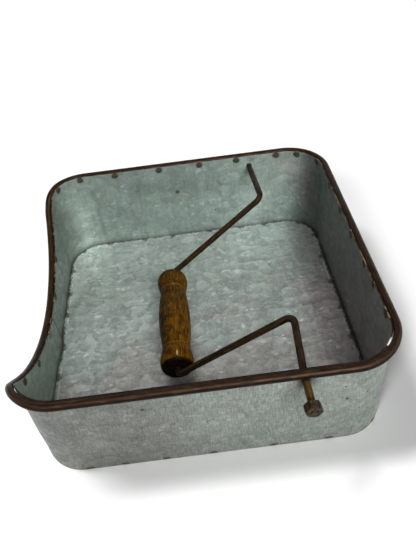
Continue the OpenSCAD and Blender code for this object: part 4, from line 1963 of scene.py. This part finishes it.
@dataclass
class HexNut:
    """A hexagon nut with turned chamfers and a threaded bore, on one end of the rod."""

    side: Side
    axis: Vector
    inner_y: float
    across_flats: float = 8.2 * MM
    thick: float = 5 * MM
    chamfer: float = 0.5 * MM
    chamfer_steep: float = 1.1
    bore_r: float = 2.15 * MM
    bore_lead: float = 0.15 * MM
    thread_pitch: float = 0.8 * MM
    thread_depth: float = 0.1 * MM
    edge_round: float = 0.06 * MM
    wear: float = 0.035 * MM
    wear_wave: float = 2.2 * MM
    most_swollen: float = 0.03 * MM
    worn_from: float = 1.3
    seed: int = 17
    turn: float = math.radians(20)
    row_place: float = 0.2 * MM
    sides: int = 120

    def make(self, finishes: Finishes) -> bpy.types.Object:
        """Builds the nut from its section at each angle: up the threaded bore, out over the
        end face, down the chamfer where the hexagon stands past it, and down the flat.

        Args:
            finishes: The materials.

        Returns:
            The nut.
        """
        angle = ring(self.sides)
        folded = np.mod(angle + math.pi / 6, math.pi / 3) - math.pi / 6
        flat_r = self.across_flats / 2 / np.cos(folded)
        corner_r = self.across_flats / 2 / math.cos(math.pi / 6)
        crown_r = corner_r - 2 * self.chamfer
        fall = np.maximum(flat_r - crown_r, 0) * self.chamfer / (corner_r - crown_r)
        fall = np.maximum(fall * self.chamfer_steep, self.edge_round)
        rise = np.linspace(0, self.thick, 41)[:, None] + 0 * angle
        thread = 0.5 + 0.5 * np.cos(2 * math.pi * rise / self.thread_pitch - angle)
        to_face = np.minimum(rise, self.thick - rise)
        lead = self.bore_lead * smooth(1 - to_face / (2 * self.bore_lead))
        bore = self.bore_r - self.thread_depth * thread + lead
        face = np.linspace(0.15, 0.92, 4)[:, None]
        crown = np.minimum(crown_r, flat_r - 2 * self.edge_round)
        face_r = bore[:1] * (1 - face) + crown * face
        shoulder = np.array([0.0, 0.35, 0.7, 1.0])[:, None]
        edge_r = crown * (1 - shoulder) + flat_r * shoulder
        edge_fall = fall * shoulder**1.5
        flank = np.linspace(0, 1, 12)[1:-1, None]
        side_z = (self.thick - fall) * (1 - flank) + fall * flank
        radii = [bore, face_r, edge_r, flat_r + 0 * side_z, edge_r[::-1], face_r[::-1]]
        heights = [rise, self.thick + 0 * face_r, self.thick - edge_fall, side_z]
        radii = np.concatenate(radii)
        heights = np.concatenate([*heights, edge_fall[::-1], 0 * face_r])
        place = np.stack([radii * np.cos(angle), radii * np.sin(angle), heights], -1)
        worn = self.wear * ripple(place, self.wear_wave, self.seed + self.side.value)
        worn = np.maximum(worn, -self.most_swollen)
        radii = radii - np.where(radii > self.worn_from * self.bore_r, worn, 0)
        turned = angle + self.turn
        x, z = self.axis.x + radii * np.cos(turned), self.axis.z + radii * np.sin(turned)
        y = self.inner_y + self.side.value * heights
        points = np.stack([x, y, z], -1).reshape(-1, 3)
        girth = self.across_flats * math.pi * np.arange(self.sides + 1) / self.sides
        quads, uv = grid(self.row_place * np.arange(len(radii) + 1), girth, True, True)
        step = way_out(points, quads)
        quads, uv = quads[:, ::step], uv[:, ::step, ::-1]
        name = self.side.name.lower()
        piece = new_piece(f"{name}_hex_nut", points, quads, uv, [finishes.nut])
        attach(piece, "arm")
        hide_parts(f"{name}_nut")
        return piece


# ---- The studio ----


@dataclass(frozen=True)
class FloorSun:
    """A soft sun that only lights the studio floor: where it goes and how soft it is."""

    drift: tuple[float, float]
    spread: float
    strength: float
    height: float = 1.03


@dataclass
class Studio:
    """White floor, soft light from in front, above and the right, and the camera."""

    camera_at: tuple[float, float, float] = (0.008326, -0.266664, 0.297790)
    camera_down: float = 0.759
    camera_roll: float = -0.128
    focal_px: float = 550.22
    floor_size: float = 6.0
    floor_white: float = 0.9
    ambient: float = 0.09
    floor_glow: float = 0.12
    key_power: float = 28.0
    key_at: tuple[float, float, float] = (0.42, -1.04, 0.98)
    key_size: float = 0.9
    aim: tuple[float, float, float] = (0.0, 0.0, 0.03)
    sensor: float = 36.0
    suns: tuple[FloorSun, ...] = (
        FloorSun((0.7, 1.0), math.radians(14), 1.25),
        FloorSun((0.52, -0.17), math.radians(11), 1.35),
        FloorSun((0.36, -0.24), math.radians(11), 1.15),
    )

    def make(self) -> None:
        """Sets up the whole studio."""
        self.camera()
        self.world()
        self.lamps(self.floor())
        bpy.context.scene.view_settings.view_transform = "Standard"

    def camera(self) -> None:
        """Places the camera, whose sensor spans the picture's longer side."""
        data = bpy.data.cameras.new("camera")
        data.sensor_width = self.sensor
        data.lens = self.focal_px * self.sensor / max(IMAGE_WIDTH, IMAGE_HEIGHT)
        data.clip_start = 0.01
        camera = new_object("camera", data)
        tilt = Euler((math.pi / 2 - self.camera_down, 0, 0)).to_matrix()
        roll = Matrix.Rotation(self.camera_roll, 3, "Z")
        camera.matrix_world = Matrix.Translation(self.camera_at) @ (tilt @ roll).to_4x4()
        bpy.context.scene.camera = camera

    def world(self) -> None:
        """A plain pale world, white where the camera or a reflection sees it."""
        world = bpy.data.worlds.new("studio_world")
        world.use_nodes = True
        bpy.context.scene.world = world
        rays = add_node(world.node_tree, "LightPath", {}, "Is Camera Ray")
        seen = rays.maximum(rays.beside("Is Transmission Ray"))
        seen = seen.maximum(rays.beside("Is Glossy Ray"))
        strength = seen * (1 - self.ambient) + self.ambient
        background = world.node_tree.nodes["Background"]
        feed(background, {"Color": (1, 1, 1), "Strength": strength})

    def floor(self) -> bpy.types.Object:
        """A wide white floor under the tray.

        Returns:
            The floor.
        """
        half = self.floor_size / 2
        mesh = bpy.data.meshes.new("studio_floor")
        corners = [(-half, -half, 0), (half, -half, 0), (half, half, 0), (-half, half, 0)]
        mesh.from_pydata(corners, [], [(0, 1, 2, 3)])
        material, shader = new_material("studio_floor")
        rays = add_node(material.node_tree, "LightPath", {}, "Is Camera Ray")
        glow = rays.maximum(rays.beside("Is Glossy Ray")) * self.floor_glow
        feed(shader, {"Base Color": (self.floor_white,) * 3, "Roughness": 1.0})
        feed(shader, {"Specular IOR Level": 0.0, "Emission Color": (1, 1, 1)})
        feed(shader, {"Emission Strength": glow})
        mesh.materials.append(material)
        floor = new_object("studio_floor", mesh)
        return floor

    def lamp(self, name: str, kind: str, at: Sequence[float], power: float) -> bpy.types.Object:
        """Adds a lamp that looks at the tray.

        Args:
            name: Name of the lamp.
            kind: AREA or SUN.
            at: Where it stands.
            power: Its energy.

        Returns:
            The lamp.
        """
        data = bpy.data.lights.new(name, kind)
        data.energy = power
        lamp = new_object(name, data)
        look = (Vector(self.aim) - Vector(at)).to_track_quat("-Z", "Y")
        lamp.matrix_world = Matrix.Translation(at) @ look.to_matrix().to_4x4()
        return lamp

    def lamps(self, floor: bpy.types.Object) -> None:
        """Adds a soft key that lights only the tray, and the suns that light only
        the floor and so draw the tray's shadow on it.

        Args:
            floor: The studio floor.
        """
        key = self.lamp("key", "AREA", self.key_at, self.key_power)
        key.data.shape = "DISK"
        key.data.size = self.key_size
        off_floor = bpy.data.collections.new("all_but_the_floor")
        off_floor.objects.link(floor)
        key.light_linking.receiver_collection = off_floor
        for child in off_floor.collection_objects:
            child.light_linking.link_state = "EXCLUDE"
        on_floor = bpy.data.collections.new("the_floor")
        on_floor.objects.link(floor)
        for number, sun in enumerate(self.suns):
            at = (-sun.drift[0], -sun.drift[1], sun.height)
            lamp = self.lamp(f"sun_{number}", "SUN", at, sun.strength)
            lamp.data.angle = sun.spread
            lamp.light_linking.receiver_collection = on_floor


def main() -> None:
    """Builds the tray, the arm and the studio, in order."""
    logging.basicConfig(level=logging.INFO, format="%(name)s: %(message)s")
    joints = {joint["name"]: Vector(joint["pos_m"]) for joint in frame["joints"]}
    pivot, grip_centre = joints["arm_swing"], joints["grip_spin"]
    finishes = Finishes()
    plan = TrayPlan.from_frame()

    WallSheet(plan, pivot).make(finishes)
    FloorPan(plan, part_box("floor_pan")[1].z).make(finishes)
    RimWire(plan).make(finishes)
    RimWelds(plan).make(finishes)
    FootWelds(plan).make(finishes)

    arm_low, arm_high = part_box("swing_arm")
    SwingArm(pivot, grip_centre, plan.half_d, arm_low.y, arm_high.y).make(finishes)
    grip_low, grip_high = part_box("grip")
    TurnedGrip(grip_centre, grip_high.y - grip_low.y, grip_high.x - grip_low.x).make(finishes)
    HexNut(Side.FRONT, pivot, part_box("front_nut")[1].y).make(finishes)
    HexNut(Side.BACK, pivot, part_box("back_nut")[0].y).make(finishes)

    Studio().make()


if __name__ == "__main__":
    main()
